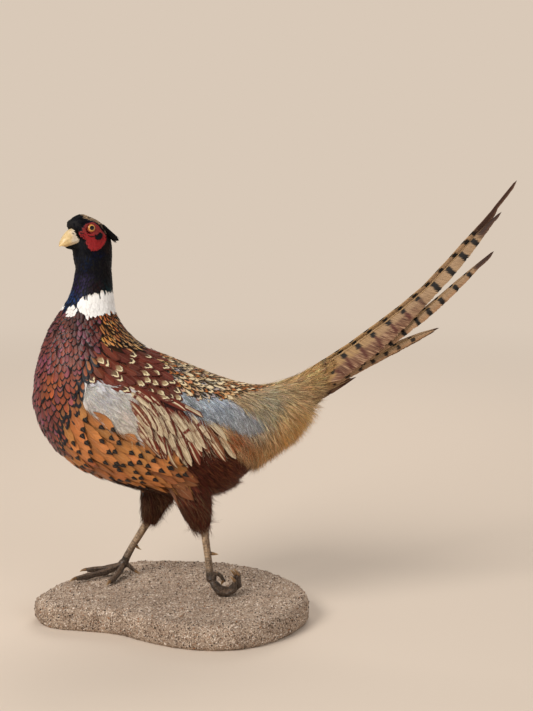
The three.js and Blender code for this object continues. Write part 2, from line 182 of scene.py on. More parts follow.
def times(tree, *values):
    """The product of two or more values."""
    total = values[0]
    for value in values[1:]:
        total = calc(tree, "MULTIPLY", total, value)
    return total


def plus(tree, a, b):
    """The sum of two values."""
    return calc(tree, "ADD", a, b)


def less(tree, a, b):
    """One value less another."""
    return calc(tree, "SUBTRACT", a, b)


def flipped(tree, value):
    """1 where the value is 0, and 0 where it is 1."""
    return less(tree, 1.0, value)


def mixed(tree, factor, a, b, blend="MIX"):
    """Blends colour a towards colour b, which may each be a code, a value or a socket."""
    a, b = (shade(colour) if isinstance(colour, str) else colour for colour in (a, b))
    node = put(tree, "ShaderNodeMix", {0: factor, 6: a, 7: b}, data_type="RGBA", blend_type=blend)
    return node.outputs[2]


print("colours and nodes ready")

# %% [markdown]
# A few more helpers make tones and patterns from values, and read the maps and colours that each
# mesh carries.

# %% Masks, patterns and maps
def mask(tree, value, low, high):
    """0 where value is below low, 1 above high, smooth between."""
    node = put(
        tree, "ShaderNodeMapRange",
        {"Value": value, "From Min": low, "From Max": high}, interpolation_type="SMOOTHSTEP",
    )
    return node.outputs[0]


def noise(tree, vector, scale, detail=2.0):
    """Soft random patches, from 0 to 1."""
    node = put(tree, "ShaderNodeTexNoise", {"Vector": vector, "Scale": scale, "Detail": detail})
    return node.outputs[0]


def toned(tree, colour, value, dark, light, low=0.35, high=0.65):
    """Multiplies a colour by a tone that goes from dark to light as the value rises."""
    tone = mixed(tree, mask(tree, value, low, high), (*dark, 1), (*light, 1))
    return mixed(tree, 1.0, colour, tone, "MULTIPLY")


def pattern(tree, *parts, detail=1.0):
    """Noise over two or three values, each stretched by its own scale."""
    scaled = {axis: times(tree, value, scale) for axis, (value, scale) in enumerate(parts)}
    return noise(tree, put(tree, "ShaderNodeCombineXYZ", scaled).outputs[0], 1.0, detail)


def attribute(tree, name, output="Color"):
    """One of the mesh's own values at each vertex."""
    return put(tree, "ShaderNodeAttribute", attribute_name=name).outputs[output]


def object_place(tree):
    """The place on the object, in metres."""
    return put(tree, "ShaderNodeTexCoord").outputs["Object"]


def map_parts(tree, layer):
    """The two numbers of one of the mesh's own UV maps."""
    both = put(tree, "ShaderNodeUVMap", uv_map=layer).outputs[0]
    return put(tree, "ShaderNodeSeparateXYZ", {0: both}).outputs[:2]


print("patterns ready")

# %% [markdown]
# Every finish starts the same way: one main shader, with its plain values set directly on it.

# %% Starting a finish
def material(name, **values):
    """A new material: its tree and its main shader, with the plain values set on that shader."""
    made = bpy.data.materials.new(name)
    made.use_nodes = True
    tree = made.node_tree
    tree.nodes.clear()
    surface = put(tree, "ShaderNodeBsdfPrincipled")
    put(tree, "ShaderNodeOutputMaterial", {0: surface.outputs[0]})
    for key, value in values.items():
        surface.inputs[key.replace("_", " ")].default_value = value
    return made, tree, surface


def wire(tree, source, surface, socket):
    """Links a value to one of the main shader's inputs."""
    tree.links.new(source, surface.inputs[socket])


def bump(tree, surface, height, strength, distance):
    """Fine relief that bends the light but not the outline."""
    node = put(tree, "ShaderNodeBump", {"Height": height, "Strength": strength, "Distance": distance})
    wire(tree, node.outputs[0], surface, "Normal")


print("finishes can be made")

# %% [markdown]
# ## Floor, light and camera
# A specimen is shown on a plain pale floor under big soft lamps, so that the plumage and not the
# light makes the picture. The floor fades into the background colour far away, which hides the
# horizon.

# %% Floor and background
FLOOR_COLOUR = shade("#d9c9b8")
FLOOR_RADIUS = 9.0


def make_floor():
    """A round floor that fades into the background colour."""
    angles = np.linspace(0, 2 * np.pi, 96, endpoint=False)
    rings = [0.8, 1.6, 3.0, FLOOR_RADIUS]
    points = [(0, 0, 0)] + [(r * math.cos(a), r * math.sin(a), 0) for r in rings for a in angles]
    count = len(angles)
    here = np.arange(count)
    there = (here + 1) % count
    fan = np.stack([np.zeros(count, int), here + 1, there + 1], 1)
    bands = [
        np.stack([here + 1 + k * count, here + 1 + (k + 1) * count, there + 1 + (k + 1) * count,
                  there + 1 + k * count], 1)
        for k in range(len(rings) - 1)
    ]
    mesh = build_mesh("studio_floor", points, fan, np.concatenate(bands))
    floor = bpy.data.objects.new("studio_floor", mesh)
    bpy.context.scene.collection.objects.link(floor)
    made, tree, surface = material("studio_floor_paint", Roughness=0.95, Base_Color=FLOOR_COLOUR)
    away = put(tree, "ShaderNodeVectorMath", {0: object_place(tree)}, operation="LENGTH").outputs["Value"]
    glow = put(tree, "ShaderNodeEmission", {"Color": FLOOR_COLOUR, "Strength": 1.0})
    fade = mask(tree, away, 0.9, 2.6)
    both = put(tree, "ShaderNodeMixShader", {0: fade, 1: surface.outputs[0], 2: glow.outputs[0]})
    out = next(n for n in tree.nodes if n.type == "OUTPUT_MATERIAL")
    tree.links.new(both.outputs[0], out.inputs[0])
    mesh.materials.append(made)


def make_world():
    """Soft light from all round. Only the camera sees the background colour."""
    world = bpy.data.worlds.new("studio")
    world.use_nodes = True
    tree = world.node_tree
    tree.nodes.clear()
    seen = put(tree, "ShaderNodeLightPath")
    direct = calc(tree, "MAXIMUM", seen.outputs["Is Camera Ray"], seen.outputs["Is Transmission Ray"])
    fill = put(tree, "ShaderNodeBackground", {"Color": (1.0, 0.97, 0.94, 1), "Strength": 0.34})
    backdrop = put(tree, "ShaderNodeBackground", {"Color": FLOOR_COLOUR, "Strength": 1.0})
    both = put(tree, "ShaderNodeMixShader", {0: direct, 1: fill.outputs[0], 2: backdrop.outputs[0]})
    put(tree, "ShaderNodeOutputWorld", {0: both.outputs[0]})
    bpy.context.scene.world = world


make_floor()
make_world()
print("floor radius", FLOOR_RADIUS)

# %% [markdown]
# A large key lamp stands at the bird's left front, a weaker one fills the shadows from its left
# rear, and a third lights the far side. Only the key lamp is allowed to make glints.

# %% Lamps
LAMPS = {
    # name: place, width, power, colour, and whether it gives glints
    "key_lamp": ((1.5, -1.5, 1.9), 1.3, 54, (1.0, 0.97, 0.93), True),
    "fill_lamp": ((1.9, 1.7, 1.3), 1.8, 17, (0.95, 0.97, 1.0), False),
    "back_lamp": ((-1.7, 0.3, 1.8), 1.6, 24, (1.0, 0.97, 0.94), False),
}


def make_lamp(name, spot, size, power, colour, glints):
    """A round soft lamp, aimed at the bird."""
    data = bpy.data.lights.new(name, "AREA")
    data.shape = "DISK"
    data.size = size
    data.energy = power
    data.color = colour
    lamp = bpy.data.objects.new(name, data)
    lamp.location = spot
    aim = Vector((0, 0.05, 0.3)) - Vector(spot)
    lamp.rotation_euler = aim.to_track_quat("-Z", "Y").to_euler()
    lamp.visible_glossy = glints
    bpy.context.scene.collection.objects.link(lamp)


for name, row in LAMPS.items():
    make_lamp(name, *row)
bpy.context.scene.view_settings.view_transform = "Standard"
print(len(LAMPS), "lamps")

# %% [markdown]
# The camera stands at the bird's left side and looks down on it by ten degrees.

# %% Camera
CAMERA_SPOT = Vector((2.1492, 0.1237, 0.7255))
CAMERA_AIM = Vector((0.0, 0.1237, 0.3465))

lens = bpy.data.cameras.new("camera")
lens.lens = 85
lens.sensor_width = 36
lens.clip_start = 0.05
camera = bpy.data.objects.new("camera", lens)
camera.location = CAMERA_SPOT
camera.rotation_euler = (CAMERA_AIM - CAMERA_SPOT).to_track_quat("-Z", "Y").to_euler()
bpy.context.scene.collection.objects.link(camera)
bpy.context.scene.camera = camera
print("camera", round((CAMERA_AIM - CAMERA_SPOT).length, 3), "m away")

# %% [markdown]
# ## One skin
# A real mount is one skin pulled over a form. Copies of the head, neck, trunk, tail root, wings and
# thighs are swelled by 0.6 millimetre, so that the thin cuts between them close, and a voxel remesh
# turns them into one surface. It is relaxed to lose the flat facets, then drawn in by the depth of
# the coat, so that the feather tips come out where the solids' faces are.

# %% Joining the flesh
FLESH = ["head", "neck", "trunk", "tail_coverts", "thigh_left", "thigh_right", "wing_left", "wing_right"]
SKIN_VOXEL = 2.05 * MM
FLESH_SWELL = 0.6 * MM


def node_arrays(names, grow):
    """The closed, welded and slightly swollen copies of some solids, as points and triangles."""
    points = []
    faces = []
    start = 0
    for name in names:
        data = bmesh.new()
        data.from_mesh(nodes[name].data)
        bmesh.ops.remove_doubles(data, verts=data.verts, dist=1e-6)
        bmesh.ops.triangulate(data, faces=data.faces)
        data.normal_update()
        data.verts.index_update()
        points += [v.co + v.normal * grow for v in data.verts]
        faces += [[v.index + start for v in f.verts] for f in data.faces]
        start += len(data.verts)
        data.free()
    return np.array(points), np.array(faces)


def modified(name, mesh, kind, inputs=(), **settings):
    """The mesh that one modifier makes out of another mesh."""
    carrier = bpy.data.objects.new(name, mesh)
    bpy.context.scene.collection.objects.link(carrier)
    modifier = carrier.modifiers.new(name, kind)
    for key, value in settings.items():
        setattr(modifier, key, value)
    for key, value in inputs:
        modifier[key] = value
    ready = carrier.evaluated_get(bpy.context.evaluated_depsgraph_get())
    result = bpy.data.meshes.new_from_object(ready)
    bpy.data.objects.remove(carrier)
    result.name = name
    return result


def remeshed(name, points, faces, voxel):
    """The outside of some closed shapes as one even mesh of small quads."""
    return modified(name, build_mesh(name, points, faces), "REMESH", mode="VOXEL", voxel_size=voxel)


print("solids can be joined")

# %% [markdown]
# Relaxing draws every point to the middle of its neighbours and then a little back, over and over,
# so that facets and voxel steps fade and the size stays.

# %% Relaxing
def edges_of(mesh):
    """The two ends of every edge."""
    pairs = np.zeros(len(mesh.edges) * 2, np.int32)
    mesh.edges.foreach_get("vertices", pairs)
    return pairs.reshape(-1, 2)


def relaxed(points, edges, rounds):
    """Smooths by drawing each point to its neighbours and back a little, so that it keeps its size."""
    count = len(points)
    valence = np.maximum(np.bincount(edges.ravel(), minlength=count), 1)[:, None]
    points = points.copy()
    for step in range(rounds * 2):
        total = np.stack([
            np.bincount(edges[:, 0], points[edges[:, 1], axis], count)
            + np.bincount(edges[:, 1], points[edges[:, 0], axis], count)
            for axis in range(3)
        ], 1)
        weight = 0.5 if step % 2 == 0 else -0.51
        points += weight * (total / valence - points)
    return points


flesh_points, flesh_faces = node_arrays(FLESH, FLESH_SWELL)
skin_mesh = remeshed("skin", flesh_points, flesh_faces, SKIN_VOXEL)
print("skin starts as", len(skin_mesh.vertices), "points")

# %% [markdown]
# ## The head's own directions
# The head is turned on the neck, so its features are placed in its own directions: forward along the
# bill, out to its left, and up. The two eyeballs give the line across the head.

# %% Head frame
left_eye = sum(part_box("eye_left"), Vector()) / 2
right_eye = sum(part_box("eye_right"), Vector()) / 2
aside = np.array((left_eye - right_eye).normalized())
upward = np.array([0.0, 0.0, 1.0])
ahead = np.cross(upward, aside) * -1
head_middle = np.array((left_eye + right_eye) / 2) - 0.5 * MM * ahead
print("head faces", np.round(ahead, 2), "and its left is", np.round(aside, 2))


def head_place(points):
    """Forward, left and up from the middle of the head, in millimetres."""
    rest = (points - head_middle) / MM
    return rest @ ahead, rest @ aside, rest @ upward


def from_head(forward, left, up):
    """A point or direction given in the head's millimetres, in the frame's metres."""
    return MM * (forward * ahead + left * aside + up * upward)


# %% [markdown]
# ## Outlines and body directions
# Feather tracts, the bare face and the ring all have borders. Each border is a short outline in the
# side view, in millimetres, and one helper tells how far a point is inside or outside of it. The
# `chart` helper unrolls the body: one number runs along the spine from crown to tail and the other
# runs round it, which gives every feather its own place on a flat map.

# %% Outlines
def outside_by(spots, outline):
    """How far each flat point lies outside a closed outline; inside is negative."""
    a = np.asarray(outline, float)
    b = np.roll(a, -1, axis=0)
    edge = b - a
    off = spots[:, None, :] - a[None]
    t = np.clip((off * edge).sum(2) / (edge ** 2).sum(1), 0, 1)
    near = np.linalg.norm(off - t[..., None] * edge, axis=2).min(1)
    spans = (a[:, 1] > spots[:, None, 1]) != (b[:, 1] > spots[:, None, 1])
    rise = np.where(np.abs(edge[:, 1]) < 1e-9, 1e-9, edge[:, 1])
    cross = a[:, 0] + (spots[:, None, 1] - a[:, 1]) * edge[:, 0] / rise
    odd = (spans & (spots[:, None, 0] < cross)).sum(1) % 2 == 1
    return np.where(odd, -near, near)


# The bare red face, in the head's forward and up.
WATTLE = [
    (16.1, -5.2), (11.8, 3.4), (6.5, 8.1), (-0.5, 9.6), (-6.9, 9.2), (-12, 5.1), (-16.3, -1.4),
    (-24, -9.2), (-21, -17), (-10.7, -24.8), (-3.6, -27.2), (2.9, -26.9), (7, -22.7), (9, -16.3),
    (8.2, -12.6), (13.1, -9.3),
]
EAR_PATCH = [
    (-3.5, -8.0), (-7.5, -7.6), (-11, -4.2), (-13.6, -4.4), (-13.8, -7.4), (-10.6, -10), (-6, -10.4),
]

# The middle of the body seen from the side, from the crown to the root of the tail: y, z.
SPINE = np.array([
    (-112, 533), (-110, 512), (-103, 476), (-100, 448), (-102, 426), (-107, 407), (-113, 383),
    (-113, 355), (-108, 324), (-93, 298), (-69, 276), (-38, 262), (-6, 250), (26, 239), (60, 236),
    (90, 241), (115, 254), (139, 268), (161, 281), (180, 300), (195, 318), (205, 328),
], float)


def chart(points):
    """Where points fall on the unrolled body, both numbers from 0 to 1."""
    flat = points[:, 1:] / MM
    a = SPINE[:-1]
    edge = SPINE[1:] - a
    size = np.linalg.norm(edge, axis=1)
    start = np.concatenate([[0], np.cumsum(size)])
    off = flat[:, None, :] - a[None]
    t = np.clip((off * edge).sum(2) / size ** 2, 0, 1)
    gap = off - t[..., None] * edge
    nearest = np.linalg.norm(gap, axis=2).argmin(1)
    row = np.arange(len(points))
    along = (start[nearest] + t[row, nearest] * size[nearest]) / start[-1]
    way = edge[nearest] / size[nearest][:, None]
    over = -gap[row, nearest][:, 0] * way[:, 1] + gap[row, nearest][:, 1] * way[:, 0]
    turn = np.arctan2(points[:, 0] / MM, over) / (2 * np.pi) + 0.5
    return np.stack([turn, along], 1)


print("the bare face has", len(WATTLE), "corners")

# %% [markdown]
# ## Shaping the skin
# The remeshed skin is smoothed, and the face gets smaller faces than the rest, twice over near the
# eyes, so that it can hold folds. Then the skin sinks by the coat's depth: about one millimetre on
# the head, two on the neck, and three to four and a half on the body and the tail coverts. The bare
# face is raised by half a millimetre instead, as it is swollen skin without feathers.

# %% Skin surface
def refine(mesh, chosen):
    """Halves the faces whose corners are all chosen."""
    data = bmesh.new()
    data.from_mesh(mesh)
    data.verts.ensure_lookup_table()
    picked = [e for e in data.edges if chosen[e.verts[0].index] and chosen[e.verts[1].index]]
    bmesh.ops.subdivide_edges(data, edges=picked, cuts=1, use_grid_fill=True)
    data.to_mesh(mesh)
    data.free()


write_points(skin_mesh, relaxed(read(skin_mesh), edges_of(skin_mesh), 9))
forward, left, up = head_place(read(skin_mesh))
refine(skin_mesh, (np.abs(left) > 4) & (np.abs(forward) < 32) & (up > -36) & (up < 17))
forward, left, up = head_place(read(skin_mesh))
refine(skin_mesh, (np.abs(left) > 9) & (np.hypot(forward, up) < 13))


def coat_depth(points):
    """How far the skin lies under the tips of the coat, in millimetres."""
    height = points[:, 2] / MM
    back = points[:, 1] / MM
    depth = 3.0 + 1.5 * ease(back, 70, 150)
    depth = depth + (2.0 - depth) * ease(height, 390, 440)
    return depth + (1.1 - depth) * ease(height, 470, 492)


points = read(skin_mesh)
edges = edges_of(skin_mesh)
forward, left, up = head_place(points)
face_outside = outside_by(np.stack([forward, up], 1), WATTLE)
on_face = ease(-face_outside, -0.4, 1.4) * (np.abs(left) > 8) * (up > -34) * (up < 16)
sink = coat_depth(points) * (1 - on_face) - 0.5 * on_face
points -= read(skin_mesh, "normal") * sink[:, None] * MM
points = relaxed(points, edges, 3)
write_points(skin_mesh, points)

skin_normals = read(skin_mesh, "normal")
corner_lists = [tuple(p.vertices) for p in skin_mesh.polygons]
skin_tree = BVHTree.FromPolygons([tuple(p) for p in points], corner_lists)
face_normals = unit(np.array([skin_normals[list(c)].mean(0) for c in corner_lists]))
print("skin has", len(points), "points and", len(corner_lists), "faces")


def on_skin(spots):
    """The nearest place on the skin to each point, and the skin's smooth normal there."""
    found = [skin_tree.find_nearest(Vector(p)) for p in spots]
    return np.array([f[0] for f in found]), face_normals[[f[2] for f in found]]


# %% [markdown]
# ## Which tract, and which way the feathers lie
# A pheasant's markings are a map of tracts: mantle, scapulars, breast, flank and so on. Each is an
# outline in the side view, the same on both flanks. The lie of the coat is a short list of
# directions at known places, blended between them, and turned into the skin's surface at each root.

# %% The map of tracts
TRACT_OUTLINES = {
    "ring": [
        (-109, 404), (-114, 412), (-114, 418), (-109, 425), (-99, 427), (-85, 429), (-55, 431),
        (-55, 405), (-75, 404), (-89, 404), (-100, 401), (-104, 401),
    ],
    "ring_front": [
        (-132, 406), (-129, 412), (-122, 413), (-119, 410), (-119, 405), (-122, 402), (-129, 402),
    ],
    "ring_throat": [(-148, 408), (-144, 412), (-140, 414), (-137, 411), (-139, 408), (-143, 406)],
    "spangled": [
        (-90, 346), (-101, 331), (-107, 312), (-111, 291), (-121, 278), (-129, 263), (-133, 247),
        (-126, 230), (-142, 233), (-148, 251), (-146, 268), (-135, 284), (-123, 299), (-117, 318),
        (-109, 335), (-99, 350),
    ],
    "neck": [
        (-170, 404), (-94, 403), (-50, 408), (-50, 478), (-40, 600), (-200, 600), (-200, 410),
    ],
    "breast": [
        (-170, 404), (-94, 403), (-88, 391), (-82, 375), (-84, 362), (-95, 354), (-97, 340),
        (-102, 327), (-109, 309), (-113, 286), (-126, 275), (-134, 261), (-138, 246), (-134, 222),
        (-142, 195), (-230, 200), (-230, 404),
    ],
    "mantle": [
        (-94, 403), (-50, 408), (-30, 385), (-22, 362), (-26, 353), (-38, 351), (-57, 358),
        (-72, 358), (-85, 368), (-88, 391),
    ],
    "scapular": [
        (-84, 365), (-72, 358), (-57, 358), (-38, 351), (-26, 353), (-13, 345), (-2, 334), (11, 316),
        (17, 297), (2, 292), (-13, 302), (-48, 315), (-68, 318), (-97, 324), (-102, 327),
        (-97, 340), (-94, 354), (-84, 362),
    ],
    "lower_back": [
        (-26, 353), (-22, 370), (40, 350), (110, 330), (144, 323), (136, 307), (102, 301), (77, 297),
        (64, 298), (44, 297), (27, 300), (11, 314), (1, 323), (-2, 334), (-13, 345),
    ],
    "rump": [
        (1, 323), (11, 314), (27, 300), (44, 297), (64, 298), (92, 287), (118, 271), (120, 258),
        (98, 256), (84, 256), (78, 266), (64, 276), (52, 276), (40, 278), (19, 287), (16, 297),
    ],
    "silver": [
        (-99, 325), (-73, 320), (-48, 315), (-38, 300), (-36, 278), (-28, 247), (-44, 250),
        (-74, 268), (-91, 280), (-111, 285), (-113, 292), (-108, 305), (-102, 320),
    ],
    "quill": [
        (-48, 315), (-13, 302), (2, 292), (19, 287), (40, 277), (62, 270), (65, 256), (77, 240),
        (88, 227), (42, 225), (19, 216), (7, 226), (-13, 237), (-28, 247), (-36, 278), (-38, 300),
    ],
    "flank": [
        (-113, 286), (-91, 280), (-74, 268), (-44, 250), (-28, 247), (-13, 237), (7, 226),
        (19, 216), (30, 190), (34, 150), (-60, 130), (-142, 170), (-142, 195), (-134, 222),
        (-138, 246), (-134, 261), (-126, 275),
    ],
    "covert": [
        (144, 323), (152, 333), (175, 340), (240, 380), (240, 300), (190, 240), (150, 205),
        (108, 200), (88, 227), (77, 240), (65, 256), (62, 270), (82, 264), (98, 258), (120, 258),
        (118, 271), (92, 287), (64, 298), (77, 297), (102, 301), (136, 307),
    ],
    "vent": [
        (19, 216), (42, 225), (88, 227), (108, 200), (100, 150), (100, 60), (-120, 60), (-100, 130),
        (-60, 130), (34, 150), (30, 190),
    ],
}
TRACTS = list(TRACT_OUTLINES)

print(len(TRACTS), "tracts outlined")

# %% [markdown]
# The outlines are drawn once into a fine map of the side view, so that the tract of any point is
# looked up and not computed anew.

# %% The map and the tract of a point
MAP_STEP = 1.25
MAP_LOW = np.array([-240.0, 50.0])
MAP_HIGH = np.array([260.0, 620.0])
OVERLAID = {"ring", "ring_front", "ring_throat", "spangled"}


def draw_tract_map():
    """The tract at every step of the side view. Overlaid tracts count only inside their outlines."""
    y = np.arange(MAP_LOW[0], MAP_HIGH[0], MAP_STEP)
    z = np.arange(MAP_LOW[1], MAP_HIGH[1], MAP_STEP)
    flat = np.stack(np.meshgrid(y, z, indexing="ij"), -1).reshape(-1, 2)
    best = np.full(len(flat), 1e9)
    number = np.zeros(len(flat), int)
    for k, name in enumerate(TRACTS):
        away = outside_by(flat, TRACT_OUTLINES[name])
        if name in OVERLAID:
            away = np.where(away < 0, away - 500, 1e9)
        number = np.where(away < best, k, number)
        best = np.minimum(best, away)
    return number.reshape(len(y), len(z))


tract_map = draw_tract_map()


def tract_of(points, normals):
    """The number of each point's tract. Underneath, between the legs, the coat is dark as the vent."""
    flat = points[:, 1:] / MM
    cell = np.round((flat - MAP_LOW) / MAP_STEP).astype(int)
    cell = np.clip(cell, 0, np.array(tract_map.shape) - 1)
    tract = tract_map[cell[:, 0], cell[:, 1]]
    under = (normals[:, 2] < -0.86) & (flat[:, 1] < 215) & (flat[:, 0] > -110)
    thighs = (flat[:, 1] < 168) | ((np.abs(points[:, 0]) < 30 * MM) & (flat[:, 1] < 170))
    tract[under | (thighs & (flat[:, 0] > -70))] = TRACTS.index("vent")
    return tract


print("map of", tract_map.shape, "cells")

# %% [markdown]
# The lie of the coat follows: first the directions at the known places, then the blend.

# %% The lie
# Where the lie is known: y, z, and the way the feathers point there, as y and z.
LIE = np.array([
    (-126, 387, 0.05, -1), (-164, 346, 0.02, -1), (-163, 297, 0.12, -1), (-140, 260, 0.45, -0.85),
    (-117, 351, 0.12, -1), (-117, 314, 0.15, -1), (-140, 225, 0.75, -0.6), (-117, 212, 0.9, -0.4),
    (-62, 246, 0.85, -0.5), (-25, 210, 0.85, -0.45), (0, 195, 0.8, -0.5), (-60, 190, 0.92, -0.3),
    (-100, 276, 0.8, -0.5), (-76, 392, 0.45, -0.88), (-52, 372, 0.7, -0.65), (-87, 363, 0.6, -0.8),
    (-62, 350, 0.85, -0.5), (-12, 324, 0.75, -0.65), (6, 305, 0.6, -0.8), (-94, 320, 0.7, -0.6),
    (-73, 298, 0.75, -0.62), (-48, 268, 0.7, -0.7), (-18, 273, 0.36, -0.93), (14, 252, 0.4, -0.91),
    (-24, 293, 0.42, -0.9), (0, 283, 0.42, -0.9), (22, 268, 0.42, -0.9), (-6, 250, 0.38, -0.92),
    (40, 257, 0.46, -0.88), (52, 256, 0.55, -0.83), (77, 234, 0.55, -0.83), (-1, 343, 0.85, -0.5),
    (51, 319, 0.92, -0.4), (39, 290, 0.5, -0.88), (90, 268, 0.45, -0.9), (82, 288, 0.48, -0.88),
    (101, 297, 0.62, -0.78), (106, 312, 0.95, -0.3), (118, 274, 0.55, -0.83), (118, 230, 0.3, -0.95),
    (137, 308, 0.9, -0.42), (142, 279, 0.62, -0.78), (142, 242, 0.38, -0.92), (154, 293, 0.8, -0.6),
    (161, 256, 0.5, -0.87), (173, 274, 0.66, -0.75), (173, 307, 0.99, 0.0), (163, 327, 0.93, 0.36),
    (182, 293, 0.93, -0.36), (190, 305, 0.98, 0.05), (186, 325, 0.9, 0.43), (205, 333, 0.86, 0.5),
    (64, 203, 0.7, -0.75), (39, 175, 0.5, -0.85), (35, 140, 0.25, -0.95), (-30, 140, -0.05, -1),
    (-100, 405, 0.1, -1), (-100, 440, 0.02, -1), (-100, 470, 0.0, -1), (-140, 405, -0.3, -1),
    (-20, 170, 0.7, -0.6),
], float)


def lie_at(points, normals):
    """The way the coat lies at each point, along the skin."""
    flat = points[:, 1:] / MM
    gap = ((flat[:, None, :] - LIE[None, :, :2]) ** 2).sum(2)
    weight = 1 / (gap + 60) ** 2
    way = (weight[..., None] * LIE[None, :, 2:]).sum(1) / weight.sum(1)[:, None]
    body = np.stack([np.zeros(len(way)), way[:, 0], way[:, 1]], 1)
    fall = ease(-head_place(points)[2], -14, 12)
    head = -ahead[None] * (1.05 - 0.8 * fall)[:, None] - upward[None] * (0.15 + 0.9 * fall)[:, None]
    share = ease(points[:, 2] / MM, 468, 488)[:, None]
    way = body * (1 - share) + head * share
    way -= normals * (way * normals).sum(1)[:, None]
    return unit(way)


skin_tracts = tract_of(points, skin_normals)
print({name: int((skin_tracts == k).sum()) for k, name in enumerate(TRACTS)})

# %% [markdown]
# ## Where each feather grows
# Feathers grow from evenly spread roots. Random places are tried on the skin in a fixed order, and
# one is kept if no root already stands closer than the tract's spacing, which gives the even but not
# regular cover of a real coat.

# %% Roots
# How many random places are tried for each root that could fit.
TRIES = 9
AROUND = list(product((-1, 0, 1), repeat=3))


def corner_triangles():
    """The skin's faces as triangles, and their areas."""
    triangles = np.array([(c[0], c[k], c[k + 1]) for c in corner_lists for k in range(1, len(c) - 1)])
    a, b, c = (points[triangles[:, k]] for k in range(3))
    area = np.linalg.norm(np.cross(b - a, c - a), axis=1) / 2
    return triangles, area


triangles, triangle_area = corner_triangles()
triangle_normal = unit(skin_normals[triangles].sum(1))
triangle_middle = points[triangles].mean(1)
triangle_tract = tract_of(triangle_middle, triangle_normal)


def random_places(chance, weight, count):
    """Random places on the skin's triangles, more on those with more weight, and their normals."""
    picked = chance.choice(len(weight), count, p=weight / weight.sum())
    u, v = chance.random((2, count))
    flip = u + v > 1
    u[flip], v[flip] = 1 - u[flip], 1 - v[flip]
    a, b, c = (points[triangles[picked, k]] for k in range(3))
    return a + (b - a) * u[:, None] + (c - a) * v[:, None], triangle_normal[picked]


def spread(chosen, spacing, seed, grade=None):
    """Evenly spread roots on the chosen triangles. grade may scale the spacing from place to place."""
    weight = triangle_area * chosen
    count = int(weight.sum() / (spacing * MM) ** 2 * TRIES)
    spots, normals = random_places(np.random.default_rng(seed), weight, count)
    reach = np.full(count, spacing * MM)
    if grade is not None:
        reach *= grade(spots)
    home = {}
    kept = []
    cells = np.floor(spots / reach.max()).astype(int).tolist()
    places = spots.tolist()
    reaches = reach.tolist()
    for i, (x, y, z) in enumerate(cells):
        rivals = (places[j] for a, b, c in AROUND for j in home.get((x + a, y + b, z + c), ()))
        if all(math.dist(places[i], rival) >= reaches[i] for rival in rivals):
            home.setdefault((x, y, z), []).append(i)
            kept.append(i)
    return spots[kept], normals[kept], reach[kept] / (spacing * MM)


print("the coat covers", round(float(triangle_area.sum()), 3), "square metres")

# %% [markdown]
# ## How a vane is built
# A contour feather is a curved, slightly arched leaf with a ragged rim. Each one is walked along the
# skin from its root, so that it wraps the body, and rises a little on the way, so that every feather
# lies over the ones behind it like a roof tile. Top and underside share a rim, so each vane is a
# closed thin solid.

# %% Vanes
def bell(v, full, rounding, taper):
    """A vane's half width from root to tip: it swells up to `full`, then closes round or pointed."""
    swell = np.sin(np.clip(v / full, 0, 1) * np.pi / 2) ** 0.8
    past = np.clip((v - full) / (1.002 - full), 0, 1)
    return np.where(v < full, swell, np.clip(1 - past ** rounding, 0, 1) ** taper)


OUTLINE_SHAPES = {
    "round": lambda v: bell(v, 0.6, 2.2, 0.5),
    "pointed": lambda v: bell(v, 0.5, 1.9, 0.85),
    "blunt": lambda v: bell(v, 0.35, 4.5, 0.6),
}


def vane_faces(rows, columns):
    """The faces of one vane's top and underside, which share the vertices of the rim."""
    top = np.arange(rows * columns).reshape(rows, columns)
    under = top.copy()
    under[1:-1, 1:-1] = rows * columns + np.arange((rows - 2) * (columns - 2)).reshape(
        rows - 2, columns - 2,
    )
    sheets = []
    for grid, flip in ((top, False), (under, True)):
        quad = [grid[:-1, :-1], grid[1:, :-1], grid[1:, 1:], grid[:-1, 1:]]
        if flip:
            quad.reverse()
        sheets.append(np.stack([q.ravel() for q in quad], 1))
    return np.concatenate(sheets)


print("outlines:", ", ".join(OUTLINE_SHAPES))

# %% [markdown]
# A feather is walked along the skin in three steps, and a smooth curve is run through the four
# stations.

# %% Walking along the skin
def walk(roots, normals, ways, lengths, turn_with_lie):
    """Four places along each feather, on the skin, with the skin's normals there."""
    spots = [roots]
    ups = [normals]
    way = ways
    spot = roots
    for _ in range(3):
        spot, normal = on_skin(spot + way * (lengths / 3)[:, None])
        way = unit(way - normal * (way * normal).sum(1)[:, None])
        way = unit(way * (1 - turn_with_lie) + lie_at(spot, normal) * turn_with_lie)
        spots.append(spot)
        ups.append(normal)
    return np.stack(spots, 1), np.stack(ups, 1)


def cubic_weights(v):
    """Weights that run one smooth curve through four even stations, and those of its slope."""
    stations = np.array([0, 1 / 3, 2 / 3, 1])
    place_terms = np.ones((len(v), 4))
    slope_terms = np.zeros((len(v), 4))
    for i in range(4):
        others = [s for j, s in enumerate(stations) if j != i]
        scale = np.prod([stations[i] - s for s in others])
        place_terms[:, i] = np.prod([v - s for s in others], axis=0) / scale
        slope_terms[:, i] = sum(
            np.prod([v - s for s in others if s != left_out], axis=0) for left_out in others
        ) / scale
    return place_terms, slope_terms


print("weights half way", np.round(cubic_weights(np.array([0.5]))[0], 3))

# %% [markdown]
# All feathers of a tract are built at once. Each is widened to both sides of its curve, sags with
# the skin to either side, and gets small errors of its own in roll, rise and rim.

# %% Many vanes
ROLL = 5.0
VANE_THICKNESS = 0.22 * MM


def leaf_grid(u, v):
    """Leaf coordinates of one vane, in the order of its vertices: the top, then the underside."""
    leaf = np.stack(np.meshgrid(u, v), -1)
    return np.concatenate([leaf.reshape(-1, 2), leaf[1:-1, 1:-1].reshape(-1, 2)])


